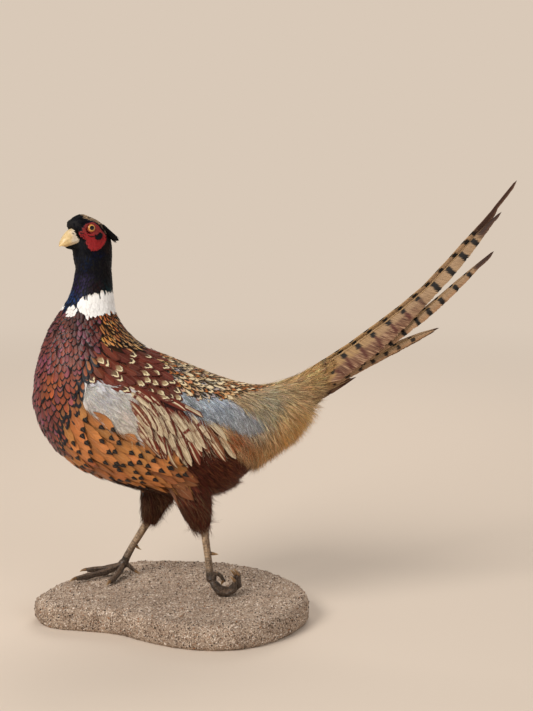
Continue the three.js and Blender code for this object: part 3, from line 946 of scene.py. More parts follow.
def many_vanes(bodies, rows, columns, u, v):
    """Joins the vertices of equal vanes, and gives their faces and leaf coordinates."""
    count, each, _ = bodies.shape
    faces = vane_faces(rows, columns)[None] + (np.arange(count) * each)[:, None, None]
    return bodies.reshape(-1, 3), [faces.reshape(-1, 4)], np.tile(leaf_grid(u, v), (count, 1))


def vanes(roots, normals, ways, lengths, widths, outline, rows, columns, rise, arch, seed,
          ragged=0.05, base_lift=-0.3):
    """Vertices, faces and leaf coordinates of many vanes. Heights are in millimetres."""
    chance = np.random.default_rng(seed)
    count = len(roots)
    spots, ups = walk(roots, normals, ways, lengths, 0.5)
    v = np.linspace(0, 1, rows) ** 0.85
    terms, slopes = cubic_weights(v)
    spine = np.einsum("rk,nkc->nrc", terms, spots)
    up = unit(np.einsum("rk,nkc->nrc", np.clip(terms, 0, None), ups))
    tangent = unit(np.einsum("rk,nkc->nrc", slopes, spots))
    across = unit(np.cross(up, tangent))
    half = OUTLINE_SHAPES[outline](v)[None, :] * widths[:, None] / 2
    half = np.maximum(half, widths[:, None] * 0.03)
    middle = spots[:, 2]
    sags = []
    for side in (-1, 1):
        reach = (widths / 2)[:, None] * across[:, rows // 2] * side
        found, _ = on_skin(middle + reach)
        sags.append(((middle + reach - found) * ups[:, 2]).sum(1))
    u = np.linspace(-1, 1, columns)
    jitter = 1 + ragged * chance.normal(size=(count, rows, 2))
    side_scale = np.where(u[None, None, :] < 0, jitter[..., :1], jitter[..., 1:])
    side_scale = 1 + (side_scale - 1) * np.abs(u)[None, None, :] ** 2
    sag = np.where(u[None, :] < 0, sags[0][:, None], sags[1][:, None])
    tilt = np.tan(np.radians(chance.normal(size=count) * ROLL))
    height = base_lift + rise * v[None, :] * (0.85 + 0.3 * chance.random((count, 1)))
    wide = half[:, :, None] * u[None, None, :] * side_scale
    share = (half / (widths[:, None] / 2))[:, :, None]
    lift = height[:, :, None] * MM - sag[:, None, :] * (share * u[None, None, :]) ** 2
    lift = lift - arch * MM * (u[None, None, :] * share) ** 2 + tilt[:, None, None] * wide * 0.6
    slide = chance.normal(size=(count, 1, columns)) * ragged * 0.35 * v[None, :, None] ** 4
    slide = slide * lengths[:, None, None]
    top = (
        spine[:, :, None, :] + across[:, :, None, :] * wide[..., None]
        + up[:, :, None, :] * lift[..., None] + tangent[:, :, None, :] * slide[..., None]
    )
    inner = top[:, 1:-1, 1:-1] - up[:, 1:-1, None, :] * VANE_THICKNESS
    bodies = np.concatenate([top.reshape(count, -1, 3), inner.reshape(count, -1, 3)], 1)
    return many_vanes(bodies, rows, columns, (u + 1) / 2, v)


print("a vane of 9 by 7 has", 2 * len(vane_faces(9, 7)), "triangles")

# %% [markdown]
# A set of vanes becomes one piece. Its baking map puts every feather at its own place on the
# unrolled body, as a small patch.

# %% Coat pieces
# How wide one feather's own patch is on the flat map, and the darkest tint in use.
PATCH = 0.003
DARKEST = 0.002


def coat_piece(name, finish, made, roots, colours, chances, stands_for=(), sharp=True):
    """Turns vanes or strands into one piece, with its leaf map, its own patches and its colours."""
    body, face_sets, leaf = made
    each = len(body) // len(roots)
    mesh = build_mesh(name, body, *face_sets)
    mesh.shade_smooth()
    set_uv(mesh, "vane", leaf)
    place_on_map = np.repeat(chart(roots) * (1 - PATCH) + PATCH / 2, each, axis=0)
    set_uv(mesh, "OFBake", place_on_map + PATCH * (leaf - 0.5))
    set_tint(mesh, np.repeat(np.clip(colours, DARKEST, 1), each, axis=0), np.repeat(chances, each))
    if sharp:
        mesh.set_sharp_from_angle(angle=math.radians(55))
    place(mesh, name, finish, stands_for)


print("one feather's patch is", PATCH, "of the map")

# %% [markdown]
# ## Colours by place
# Within a tract the colour drifts: the breast is plum at its front edge, a painted purple sheen, and copper
# at the side, and the neck has painted blue, violet and green sheen. Each tract has a base colour and a
# few soft spots of other colours in the side view, and every feather takes its own slightly different
# colour from them.

# %% Table of tints
TINTS = {
    # The plum spots at the front of the breast are painted purple sheen.
    "breast": ("#8c3c22", [
        (-182, 330, 34, "#7e3344"), (-186, 280, 34, "#82364a"), (-160, 385, 22, "#5c2226"),
        (-112, 394, 25, "#431513"), (-100, 365, 18, "#5f2426"), (-158, 250, 30, "#733439"),
        (-140, 215, 30, "#723a28"), (-148, 310, 22, "#a05226"), (-118, 300, 16, "#9c4e30"),
    ]),
    "mantle": ("#c98848", [
        (-80, 395, 14, "#b8652e"), (-40, 360, 18, "#cc9a64"), (-60, 375, 8, "#a55526"),
    ]),
    "scapular": ("#642a1d", [(-88, 350, 16, "#7a3a24"), (0, 312, 20, "#5e2c20")]),
    "lower_back": ("#c4955a", [
        (10, 324, 17, "#8b989e"), (48, 308, 15, "#8e9aa0"), (28, 318, 8, "#b98046"),
        (100, 310, 25, "#bd9062"),
    ]),
    "rump": ("#a7abb0", [
        (15, 300, 16, "#98a2a8"), (60, 285, 20, "#a8b2be"), (105, 265, 18, "#b4b4b6"),
    ]),
    "silver": ("#dad4ce", [
        (-78, 308, 16, "#c8c9d0"), (-98, 318, 10, "#d9d4ce"), (-50, 262, 18, "#cdbdab"),
    ]),
    "quill": ("#6a2a1a", [(-40, 280, 14, "#8a4a30"), (70, 245, 18, "#7a4a2c")]),
    "flank": ("#c37d42", [
        (-124, 262, 12, "#a85c30"), (20, 180, 26, "#5c2817"), (-100, 200, 20, "#a35a2e"),
    ]),
    "covert": ("#a98c6a", [
        (150, 318, 20, "#bd9a70"), (190, 325, 24, "#c49a66"), (112, 262, 22, "#aba798"),
        (130, 286, 22, "#aca28a"), (84, 248, 13, "#9a552e"), (102, 232, 12, "#a1623a"),
        (168, 262, 22, "#b98c54"), (150, 240, 22, "#b38046"), (122, 222, 20, "#a67848"),
    ]),
    "vent": ("#54261a", [
        (-20, 120, 40, "#4d2a1b"), (80, 200, 24, "#5e2f1d"), (-60, 180, 40, "#33190f"),
    ]),
    "spangled": ("#b06a38", [(-140, 255, 18, "#96463a"), (-112, 330, 14, "#9a5030")]),
    # The neck's blue, violet and teal spots are painted iridescent sheen.
    "neck": ("#0d0b0c", [
        (-107, 444, 11, "#241a36"), (-128, 424, 13, "#1b3768"), (-118, 436, 8, "#2b1a45"),
        (-81, 434, 9, "#0d2f33"), (-100, 478, 12, "#0d1020"), (-74, 462, 14, "#170d0a"),
        (-100, 434, 7, "#26180f"), (-106, 424, 8, "#14243c"), (-92, 440, 6, "#2a1410"),
        (-104, 470, 6, "#0f1a31"), (-121, 476, 5, "#10182b"), (-110, 461, 5, "#111c36"),
        (-124, 449, 6, "#1e1636"), (-102, 417, 5, "#0f3640"),
    ]),
    "ring": ("#f6f3ef", [(-60, 417, 12, "#efeae4")]),
    "ring_front": ("#f1ede8", []),
    "ring_throat": ("#f1ede8", []),
}
print("tints for", len(TINTS), "tracts")

# %% [markdown]
# A feather's colour is its tract's base colour, painted over by the soft spots near it, and then made
# a little lighter or darker than its neighbours.

# %% One colour for each feather
def all_of(code, count):
    """One colour for each of many vertices."""
    return np.tile(shade(code)[:3], (count, 1))


def paint(base, share, code):
    """Blends an array of colours towards one colour, by a share for each."""
    share = np.clip(share, 0, 1)[..., None]
    return base * (1 - share) + np.array(shade(code)[:3]) * share


def tint_at(spots, tract, seed, wander):
    """One colour for each feather of a tract, in linear light."""
    chance = np.random.default_rng(seed)
    base, spots_of_colour_and_sheen = TINTS[tract]
    flat = spots[:, 1:] / MM
    colour = all_of(base, len(flat))
    for y, z, reach, code in spots_of_colour_and_sheen:
        gap = np.hypot(flat[:, 0] - y, flat[:, 1] - z) + chance.normal(size=len(flat)) * reach * 0.18
        colour = paint(colour, np.exp(-(gap / reach) ** 2), code)
    light = 1 + chance.normal(size=(len(flat), 1)) * wander * 1.3
    hue = 1 + chance.normal(size=(len(flat), 3)) * wander * (0.5 if wander > 0.04 else 0.1)
    if tract == "breast":
        # About a fifth of the breast feathers are blended towards plum, a painted purple sheen.
        colour = paint(colour, (chance.random(len(flat)) < 0.22) * 0.55, "#8e4a60")
    return np.clip(colour * light * hue, DARKEST, 1)


print("tints go no darker than", DARKEST)

# %% [markdown]
# ## The feather finish
# Every vane carries a leaf map: one number across it and one from root to tip. The finish draws the
# barbs as fine slanting lines in that map, with a pale shaft down the middle, and each tract adds its
# own marking as soft-edged masks: a dark rim, a pale horseshoe, a black tip or a streak.

# %% Plumage materials
def plumage(name, marking, roughness, gloss, barbs, shaft=0.25, sheen=0.0, **values):
    """A feather finish. marking(tree, leaf) gives the colour before the barbs are drawn in."""
    made, tree, surface = material(
        name, Roughness=roughness, Specular_IOR_Level=gloss, Sheen_Weight=sheen, Sheen_Roughness=0.4,
        **values,
    )
    breadth, along = map_parts(tree, "vane")
    chance = attribute(tree, "tint", "Alpha")
    signed = calc(tree, "MULTIPLY_ADD", breadth, 2.0, -1.0)
    across = calc(tree, "ABSOLUTE", signed)
    slant = less(tree, along, times(tree, across, 0.3))
    lines = pattern(tree, (slant, 62.0), (chance, 91.0), (signed, 1.3), detail=2.0)
    leaf = SimpleNamespace(
        across=across, along=along, signed=signed, chance=chance, lines=lines, tint=attribute(tree, "tint"),
    )
    colour = toned(tree, marking(tree, leaf), lines, [1 - barbs] * 3, [1 + barbs * 0.35] * 3, 0.32, 0.68)
    on_shaft = flipped(tree, mask(tree, across, 0.02, 0.09))
    colour = mixed(tree, times(tree, on_shaft, shaft), colour, "#b99a78")
    wire(tree, colour, surface, "Base Color")
    height = plus(tree, times(tree, lines, 0.6), times(tree, on_shaft, 0.8))
    bump(tree, surface, height, 0.5, 0.0003)
    return made


print("the feather finish is ready")

# %% [markdown]
# The markings differ by tract. Each is drawn from how far a place is along and across its leaf,
# and from the feather's own random number, which also decides whether a mark is shown at all.

# %% Markings
BLACK = (0, 0, 0, 1)


def rim_distance(tree, leaf, centre):
    """0 in the middle of the leaf and 1 at its rim, for the part past `centre`."""
    past = calc(tree, "MAXIMUM", less(tree, leaf.along, centre), 0.0)
    past = calc(tree, "DIVIDE", past, 1 - centre)
    total = plus(tree, calc(tree, "POWER", past, 2.0), calc(tree, "POWER", leaf.across, 2.0))
    wobble = times(tree, less(tree, leaf.lines, 0.5), 0.16)
    return plus(tree, calc(tree, "SQRT", total), wobble)


def plain_marking(tree, leaf):
    """The feather's own colour, darker at its root."""
    deep = mixed(tree, 0.45, leaf.tint, BLACK)
    return mixed(tree, mask(tree, leaf.along, 0.3, 0.95), deep, leaf.tint)


def scalloped(edge_colour, low, high, centre=0.6):
    """A dark rim round the tip, as on the breast."""
    def marking(tree, leaf):
        rim = mask(tree, rim_distance(tree, leaf, centre), low, high)
        inside = plain_marking(tree, leaf)
        return mixed(tree, rim, inside, edge_colour)
    return marking


print("plain and scalloped markings ready")

# %% [markdown]
# On the back the markings are richer: gold drops on the mantle, cream horseshoes on the scapulars,
# and black spots in gold, cream and rust lower down.

# %% Markings of the back
def streaked(tree, leaf):
    """Gold drops with black edges, and on some a black line down the middle, as on the mantle."""
    rim = mask(tree, rim_distance(tree, leaf, 0.62), 0.48, 0.57)
    wobble = times(tree, leaf.lines, 0.2)
    middle = plus(tree, leaf.across, wobble)
    narrow = flipped(tree, mask(tree, middle, 0.14, 0.26))
    streak = times(tree, narrow, mask(tree, leaf.along, 0.62, 0.7), mask(tree, leaf.chance, 0.5, 0.55))
    dark = calc(tree, "MAXIMUM", rim, streak)
    pale = mixed(tree, mask(tree, leaf.chance, 0.72, 0.75), leaf.tint, "#dcb27c")
    gold = mixed(tree, mask(tree, leaf.along, 0.45, 0.8), leaf.tint, pale)
    return mixed(tree, dark, gold, "#120a08")


def horseshoe(tree, leaf):
    """Maroon with a cream horseshoe round a dark middle near the tip, as on the scapulars."""
    patches = pattern(tree, (leaf.along, 9.0), (leaf.signed, 1.5), (leaf.chance, 80.0))
    uneven = times(tree, less(tree, patches, 0.5), 0.55)
    far = plus(tree, rim_distance(tree, leaf, 0.66), uneven)
    inner = mask(tree, far, 0.36, 0.46)
    outer = flipped(tree, mask(tree, far, 0.66, 0.74))
    ends = mask(tree, leaf.along, 0.60, 0.74)
    shown = mask(tree, leaf.chance, 0.32, 0.36)
    band = times(tree, inner, outer, times(tree, ends, shown))
    core = times(tree, flipped(tree, inner), mask(tree, leaf.along, 0.5, 0.7), shown)
    filled = mask(tree, leaf.chance, 0.78, 0.82)
    core_tone = mixed(tree, filled, "#3c2014", "#a58c66")
    colour = mixed(tree, core, leaf.tint, core_tone)
    colour = mixed(tree, band, colour, "#e3d2a8")
    edge = times(tree, mask(tree, far, 0.68, 0.76), flipped(tree, mask(tree, far, 0.8, 0.9)))
    edge = times(tree, edge, times(tree, shown, mask(tree, leaf.along, 0.7, 0.8)))
    return mixed(tree, times(tree, edge, 0.85), colour, "#1c0f0b")


def mottled(tree, leaf):
    """Gold, cream or rust round a black spot of uneven outline, as on the lower back."""
    patches = pattern(tree, (leaf.along, 7.0), (leaf.signed, 2.0), (leaf.chance, 60.0))
    uneven = times(tree, less(tree, patches, 0.5), 0.7)
    far = plus(tree, rim_distance(tree, leaf, 0.5), uneven)
    rust = mixed(tree, mask(tree, leaf.chance, 0.20, 0.22), "#a8622e", leaf.tint)
    main = mixed(tree, mask(tree, leaf.chance, 0.72, 0.74), rust, "#ecd8b2")
    spot = flipped(tree, mask(tree, far, 0.50, 0.58))
    spotted = flipped(tree, mask(tree, leaf.chance, 0.88, 0.90))
    colour = mixed(tree, times(tree, spot, spotted), main, "#130d0a")
    edge = times(tree, mask(tree, far, 0.72, 0.80), mask(tree, leaf.chance, 0.4, 0.45))
    colour = mixed(tree, times(tree, edge, 0.7), colour, "#e2c08c")
    return mixed(tree, mask(tree, far, 0.98, 1.06), colour, "#22150f")


print("markings of the back ready")

# %% [markdown]
# The wing, the flank and the white parts have plainer markings: tips, streaks and silky barbs.

# %% More markings
def black_tipped(tree, leaf):
    """Orange gold with a black spade at the tip, as on the flank."""
    notch = times(tree, less(tree, 0.5, leaf.across), -0.05)
    wobble = times(tree, less(tree, leaf.lines, 0.5), 0.03)
    line = less(tree, less(tree, leaf.along, notch), wobble)
    tip = mask(tree, line, 0.825, 0.84)
    shown = mask(tree, leaf.chance, 0.08, 0.12)
    deep = mixed(tree, 0.35, leaf.tint, BLACK)
    inside = mixed(tree, mask(tree, leaf.along, 0.35, 0.75), deep, leaf.tint)
    rim = times(tree, mask(tree, leaf.across, 0.8, 1.0), 0.4)
    inside = mixed(tree, rim, inside, "#6e3a1c")
    return mixed(tree, times(tree, tip, shown), inside, "#0e0b0d")


def blue_tipped(tree, leaf):
    """Orange with a broad blue-black tip, where breast meets wing."""
    far = rim_distance(tree, leaf, 0.6)
    rim = mask(tree, far, 0.40, 0.50)
    return mixed(tree, rim, plain_marking(tree, leaf), "#0f0f18")


def silky(tree, leaf):
    """Pale all over, with a slightly darker root and fine darker hairs."""
    deep = mixed(tree, 0.12, leaf.tint, (0.12, 0.1, 0.09, 1))
    colour = mixed(tree, mask(tree, leaf.along, 0.2, 0.7), deep, leaf.tint)
    hairs = pattern(tree, (leaf.signed, 9.0), (leaf.along, 1.5), (leaf.chance, 50.0))
    return mixed(tree, times(tree, mask(tree, hairs, 0.6, 0.72), 0.4), colour, "#7b6a5e")


def white_marking(tree, leaf):
    """White to the tip, warmer at the root."""
    return mixed(tree, mask(tree, leaf.along, 0.1, 0.5), "#cfc4b6", leaf.tint)


def cream_streaked(tree, leaf):
    """Maroon quills with a cream streak of uneven width, some of them nearly all cream."""
    wide = calc(tree, "MULTIPLY_ADD", leaf.chance, 1.1, 0.06)
    wobble = times(tree, less(tree, leaf.lines, 0.5), 0.3)
    shift = calc(tree, "ABSOLUTE", plus(tree, leaf.signed, 0.2))
    edge = less(tree, plus(tree, shift, wobble), wide)
    streak = flipped(tree, mask(tree, edge, -0.06, 0.08))
    patches = pattern(tree, (leaf.along, 5.0), (leaf.chance, 70.0))
    streak = times(tree, streak, mask(tree, patches, 0.34, 0.42), mask(tree, leaf.along, 0.2, 0.36))
    hairs = pattern(tree, (leaf.signed, 5.0), (leaf.along, 1.2), (leaf.chance, 50.0))
    cream = mixed(tree, mask(tree, hairs, 0.35, 0.65), "#dccaa8", "#a08668")
    colour = mixed(tree, streak, leaf.tint, cream)
    return mixed(tree, times(tree, mask(tree, leaf.across, 0.82, 0.98), 0.5), colour, "#2c130c")


print("markings ready")

# %% [markdown]
# Each finish names its marking, then its roughness, gloss and depth of barbs, and for some the
# strength of the shaft and of the sheen.

# %% One finish for each tract
FINISH = {
    "breast": plumage("breast_feather", scalloped("#0c0709", 0.76, 0.84), 0.42, 0.35, 0.35, 0.1),
    "spangled": plumage("spangled_feather", blue_tipped, 0.45, 0.35, 0.35, 0.1),
    "mantle": plumage("mantle_feather", streaked, 0.5, 0.3, 0.3, 0.15),
    "scapular": plumage("scapular_feather", horseshoe, 0.52, 0.3, 0.3, 0.15),
    "lower_back": plumage("lower_back_feather", mottled, 0.55, 0.3, 0.3),
    "rump": plumage("rump_feather", plain_marking, 0.7, 0.2, 0.45, 0.15, 0.15),
    "silver": plumage("silver_covert_feather", silky, 0.6, 0.25, 0.3, 0.3, 0.15),
    "quill": plumage("wing_quill_feather", cream_streaked, 0.55, 0.3, 0.35, 0.5),
    "flank": plumage("flank_feather", black_tipped, 0.5, 0.35, 0.3),
    "covert": plumage("tail_covert_feather", plain_marking, 0.7, 0.2, 0.5, 0.15, 0.1),
    "vent": plumage("vent_feather", plain_marking, 0.75, 0.15, 0.5, 0.1),
    "neck": plumage(
        "neck_feather", scalloped("#050405", 0.8, 0.98, 0.5), 0.45, 0.14, 0.25, 0.0,
        Specular_Tint=(0.8, 0.82, 1.0, 1.0),
    ),
    "ring": plumage("ring_feather", white_marking, 0.65, 0.2, 0.10, 0.0),
}
print(len(FINISH), "feather finishes")

# %% [markdown]
# ## Laying the tracts
# Each tract has its spacing, its feather's length and width, its outline, and how far it rises. The
# tracts are laid one by one, small close feathers on the neck and long loose ones on the wing.

# %% Tract table
TRACT_FEATHERS = {
    # tract: spacing, length, width, outline, rows, columns, rise, arch, cover, slot
    "neck": (3.1, 11, 4.4, "round", 5, 3, 0.95, 0.4, 8, "neck_plumage"),
    "ring": (2.9, 17, 6.4, "round", 7, 5, 1.9, 0.3, 7.5, "neck_plumage"),
    "ring_front": (2.4, 8, 4.2, "round", 6, 5, 1.8, 0.3, 5, "neck_plumage"),
    "ring_throat": (2.4, 8, 4.2, "round", 6, 5, 1.8, 0.3, 5, "neck_plumage"),
    "mantle": (5.8, 27, 7.6, "pointed", 8, 5, 2.0, 0.7, 14, "body_plumage"),
    "breast": (6.1, 22, 10.4, "round", 7, 7, 1.9, 1.0, 12, "body_plumage"),
    "spangled": (6.2, 22, 9.6, "round", 8, 7, 2.2, 0.9, 14, "body_plumage"),
    "lower_back": (5.7, 20, 7.8, "round", 8, 5, 1.6, 0.8, 12, "body_plumage"),
    "scapular": (8.6, 31, 11.8, "round", 9, 7, 2.6, 1.2, 16, "body_plumage"),
    "flank": (11.5, 44, 15.5, "pointed", 11, 7, 3.4, 1.2, 27, "body_plumage"),
    "silver": (5.0, 38, 6.4, "pointed", 9, 5, 1.0, 0.15, 20, "wing_plumage"),
    "quill": (8.8, 57, 9.8, "blunt", 10, 7, 3.9, 1.1, 27, "wing_plumage"),
    "rump": (6.6, 30, 7.5, "pointed", 9, 5, 2.0, 0.5, 14, "rump_plumage"),
    "covert": (7.5, 32, 8.0, "pointed", 7, 5, 2.1, 0.6, 9, "rump_plumage"),
    "vent": (8.0, 28, 8.5, "pointed", 6, 5, 2.2, 0.6, 18, "thigh_plumage"),
}
print("feathers for", len(TRACT_FEATHERS), "tracts")

# %% [markdown]
# A feather belongs to the tract in which its open part lies, and not to the one in which it grows, so
# the borders of the markings are where the outlines are.

# %% Laying
SMALLER_TOWARDS_HEAD = {"breast", "mantle", "neck"}


def closer_up(spots):
    """Feathers get smaller and closer from the breast up to the ring, and on up to the face."""
    height = spots[:, 2] / MM
    return 1.12 - 0.42 * ease(height, 300, 400) - 0.10 * ease(height, 440, 500)


def near_head(spots):
    """The neck's feathers grow from small ones under the face to larger ones at the ring."""
    return 1.15 - 0.35 * ease(spots[:, 2] / MM, 425, 480)


def tips_in(name, reach):
    """The triangles whose feathers, this long from root to middle of the open part, end in a tract."""
    away = triangle_middle + lie_at(triangle_middle, triangle_normal) * reach * MM
    return tract_of(away, triangle_normal) == TRACTS.index(name)


def swung(ways, normals, degrees):
    """The same directions turned about their normals."""
    turn = np.radians(degrees)[:, None]
    return unit(ways * np.cos(turn) + np.cross(normals, ways) * np.sin(turn))


def lay_tract(name, seed):
    """Grows all the feathers of one tract and makes them one piece."""
    spacing, length, width, outline, rows, columns, rise, arch, cover, slot = TRACT_FEATHERS[name]
    chosen = tips_in(name, length - spacing) & tips_in(name, min(cover, length - spacing))
    if name == "neck":
        chosen = chosen & (head_place(triangle_middle)[2] < -28)
    grade = near_head if name == "neck" else closer_up if name in SMALLER_TOWARDS_HEAD else None
    roots, normals, scale = spread(chosen, spacing, seed, grade)
    chance = np.random.default_rng(seed + 100)
    count = len(roots)
    ways = swung(lie_at(roots, normals), normals, chance.normal(size=count) * 6)
    lengths = length * MM * scale * (1 + 0.08 * chance.normal(size=count))
    widths = width * MM * scale * (1 + 0.07 * chance.normal(size=count))
    white = name.startswith("ring")
    ragged = 0.02 if white else 0.05
    made = vanes(roots, normals, ways, lengths, widths, outline, rows, columns, rise, arch, seed, ragged)
    wander = 0.02 if white else 0.05 if name in ("silver", "rump") else 0.16 if name == "mantle" else 0.11
    colours = tint_at(roots + ways * (length - spacing) * MM, name, seed, wander)
    finish = FINISH["ring"] if white else FINISH[name]
    chances = chance.random(count)
    if name == "flank":
        tips = roots + ways * lengths[:, None]
        chances[(tips[:, 2] < 198 * MM) & (tips[:, 1] > -8 * MM)] = 0
    coat_piece(f"{name}_feathers", finish, made, roots, colours, chances)


FIRST_TRACT_SEED = 11
for step, tract in enumerate(TRACT_FEATHERS):
    lay_tract(tract, FIRST_TRACT_SEED + step)
print("feathers so far", sum(TALLY.values()), "triangles")

# %% [markdown]
# ## Dressing the skin itself
# The skin shows between the feathers and on the bare face, so it carries the same colours as the
# coat, only darker, as down is, and as painted shade between the feathers. The face is red, darker
# between its warts, partly its own deeper red and partly painted shade in the gaps.

# %% Skin colours
ROOT_SHADE = {
    "breast": 0.07, "mantle": 0.05, "scapular": 0.09, "lower_back": 0.1, "rump": 0.35, "silver": 0.4,
    "quill": 0.25, "flank": 0.2, "covert": 0.35, "vent": 0.35, "neck": 0.7, "ring": 0.8,
    "ring_front": 0.8, "ring_throat": 0.8, "spangled": 0.13,
}


ground = np.array([np.array(shade(TINTS[name][0])[:3]) * ROOT_SHADE[name] for name in TRACTS])
skin_colours = ground[skin_tracts]
forward, left, up = head_place(points)
face_outside = outside_by(np.stack([forward, up], 1), WATTLE)
red = ease(-face_outside, -0.6, 0.4) * (np.abs(left) > 7) * (up > -34) * (up < 16)
# Deep red under the warts: partly the skin's own colour and partly painted shade in the gaps between them.
skin_colours = paint(skin_colours, red, "#4c1011")
skin_colours = paint(skin_colours, red * ease(up, -6, 4) * 0.7, "#8a2f2d")
skin_colours = paint(skin_colours, red * (1 - ease(np.hypot(forward + 1, up - 1), 5.5, 7.5)), "#3a1517")


def make_skin_finish():
    """Down and bare skin, in the colours of the skin's vertices."""
    made, tree, surface = material("skin_and_down", Roughness=0.7, Specular_IOR_Level=0.25)
    fine = noise(tree, object_place(tree), 900.0, 4.0)
    colour = toned(tree, attribute(tree, "tint"), fine, (0.72, 0.7, 0.68), (1.2, 1.18, 1.16))
    wire(tree, colour, surface, "Base Color")
    bump(tree, surface, fine, 0.5, 0.0005)
    return made


set_tint(skin_mesh, skin_colours)
set_uv(skin_mesh, "OFBake", chart(points))
skin_mesh.shade_smooth()
place(skin_mesh, "skin", make_skin_finish(), FLESH)

# %% [markdown]
# ## Loose hair-like barbs
# The rump, the tail coverts, the vent and the thighs end in loose barbs that look like hair. They
# are thin tapering strands of sixteen triangles, laid along the same lie and lifting a little from
# the skin, so that they break the outline the way the loose coat does.

# %% Strands
BEND = 8.0


def strand_set(roots, normals, ways, lengths, radius, lift, seed, free):
    """Thin three-sided tapering strands. They hug the skin, or leave it as `free` goes from 0 to 1."""
    chance = np.random.default_rng(seed)
    count = len(roots)
    station = np.array([0, 1 / 3, 2 / 3, 1])[None, :, None]
    spots = roots[:, None] + ways[:, None] * station * lengths[:, None, None]
    ups = np.repeat(normals[:, None], 4, axis=1)
    if free < 1:
        hugging, hugging_ups = walk(roots, normals, ways, lengths, 0.6)
        share = free * station ** 1.5
        spots = hugging * (1 - share) + spots * share
        ups = unit(hugging_ups * (1 - share) + ups * share)
    rises = lift * (0.35 + 0.9 * chance.random(count))[:, None] * np.array([-0.05, 0.35, 0.68, 1.0])[None]
    side = unit(np.cross(ups, unit(np.gradient(spots, axis=1))))
    sway = np.tan(np.radians(chance.normal(size=count) * BEND))[:, None] * lengths[:, None]
    sway = sway * np.array([0, 0.2, 0.55, 1.0])[None]
    line = spots + ups * (rises * MM)[..., None] + side * sway[..., None]
    over = unit(np.cross(unit(np.gradient(line, axis=1)), side))
    thick = radius * MM * (0.8 + 0.4 * chance.random(count))[:, None] * np.array([0.8, 1.0, 0.75])[None]
    angle = np.arange(3) * 2 * np.pi / 3 + 0.4
    ring = side[:, :3, None] * np.cos(angle)[None, None, :, None] * 1.5
    ring = ring + over[:, :3, None] * np.sin(angle)[None, None, :, None]
    body = line[:, :3, None] + ring * thick[:, :, None, None]
    body = np.concatenate([body.reshape(count, 9, 3), line[:, 3:4]], 1)
    quads = np.array([[r * 3 + k, r * 3 + (k + 1) % 3, r * 3 + 3 + (k + 1) % 3, r * 3 + 3 + k]
                      for r in range(2) for k in range(3)])
    tris = np.array([[6 + k, 6 + (k + 1) % 3, 9] for k in range(3)] + [[2, 1, 0]])
    first = body[0]
    shaped = np.cross(first[quads[0, 1]] - first[quads[0, 0]], first[quads[0, 3]] - first[quads[0, 0]])
    if shaped @ (first[quads[0, 0]] - first[:3].mean(0)) < 0:
        quads, tris = quads[:, ::-1], tris[:, ::-1]
    start = (np.arange(count) * 10)[:, None, None]
    v = np.repeat([0.0, 0.34, 0.67, 1.0], [3, 3, 3, 1])
    leaf = np.stack([np.full(10, 0.5), v], 1)
    faces = [(quads[None] + start).reshape(-1, 4), (tris[None] + start).reshape(-1, 3)]
    return body.reshape(-1, 3), faces, np.tile(leaf, (count, 1))


def make_hair_finish():
    """Loose barbs, darker at the root."""
    made, tree, surface = material("loose_barb", Roughness=0.6, Specular_IOR_Level=0.22)
    _, along = map_parts(tree, "vane")
    tint = attribute(tree, "tint")
    colour = mixed(tree, mask(tree, along, 0.0, 0.5), mixed(tree, 0.3, tint, BLACK), tint)
    blotch = noise(tree, object_place(tree), 700.0)
    wire(tree, toned(tree, colour, blotch, [0.85] * 3, [1.12] * 3), surface, "Base Color")
    return made


FINISH["hair"] = make_hair_finish()
print("a strand has 16 triangles")

# %% [markdown]
# Each field of strands has its tract, count, length, thickness and lift. On the wing and flank the
# strands stay among the vanes, and on the rump and coverts they come free of them.

# %% Fields of strands
STRAND_FIELDS = {
    # piece: tract, count, length, radius, lift, free, darkest, lightest, second colour, its share, slot
    "covert_barbs_low": ("covert", 9600, 27, 0.185, 3.0, 0.55, 0.5, 2.7, "#efd29c", 0.2, "rump_plumage"),
    "covert_barbs_high": ("covert", 6400, 22, 0.165, 4.5, 0.45, 0.8, 2.9, "#5a3c20", 0.14, "rump_plumage"),
    "rump_barbs": ("rump", 6400, 24, 0.185, 2.2, 0.25, 0.45, 1.9, "#eceff4", 0.25, "rump_plumage"),
    "silver_barbs": ("silver", 5600, 27, 0.135, 0.7, 0.08, 0.9, 1.2, "#efe6d8", 0.25, "wing_plumage"),
    "quill_barbs": ("quill", 700, 34, 0.12, 1.6, 0.1, 0.6, 1.5, "#cdb898", 0.6, "wing_plumage"),
    "scapular_barbs": ("scapular", 1500, 13, 0.12, 0.8, 0.1, 0.6, 1.6, "#a5603a", 0.2, "body_plumage"),
    "vent_barbs": ("vent", 8200, 18, 0.2, 3.4, 0.45, 0.5, 1.9, "#8a5530", 0.12, "thigh_plumage"),
    "thigh_barbs": ("vent", 6400, 32, 0.21, 3.6, 0.7, 0.6, 2.4, "#84664a", 0.3, "thigh_plumage"),
    "back_barbs": ("lower_back", 1000, 11, 0.12, 1.2, 0.2, 0.6, 1.4, "#d0b48a", 0.4, "body_plumage"),
    "flank_barbs": ("flank", 1600, 16, 0.12, 0.8, 0.15, 0.6, 1.3, "#d89a5c", 0.3, "body_plumage"),
    "skirt_barbs": ("covert", 5000, 30, 0.19, 9.0, 0.85, 0.8, 2.8, "#f0d09a", 0.25, "rump_plumage"),
}
BURIED = {"silver", "scapular", "flank", "quill"}


def scatter(chosen, count, seed):
    """Random roots on the chosen triangles."""
    return random_places(np.random.default_rng(seed), triangle_area * chosen, count)


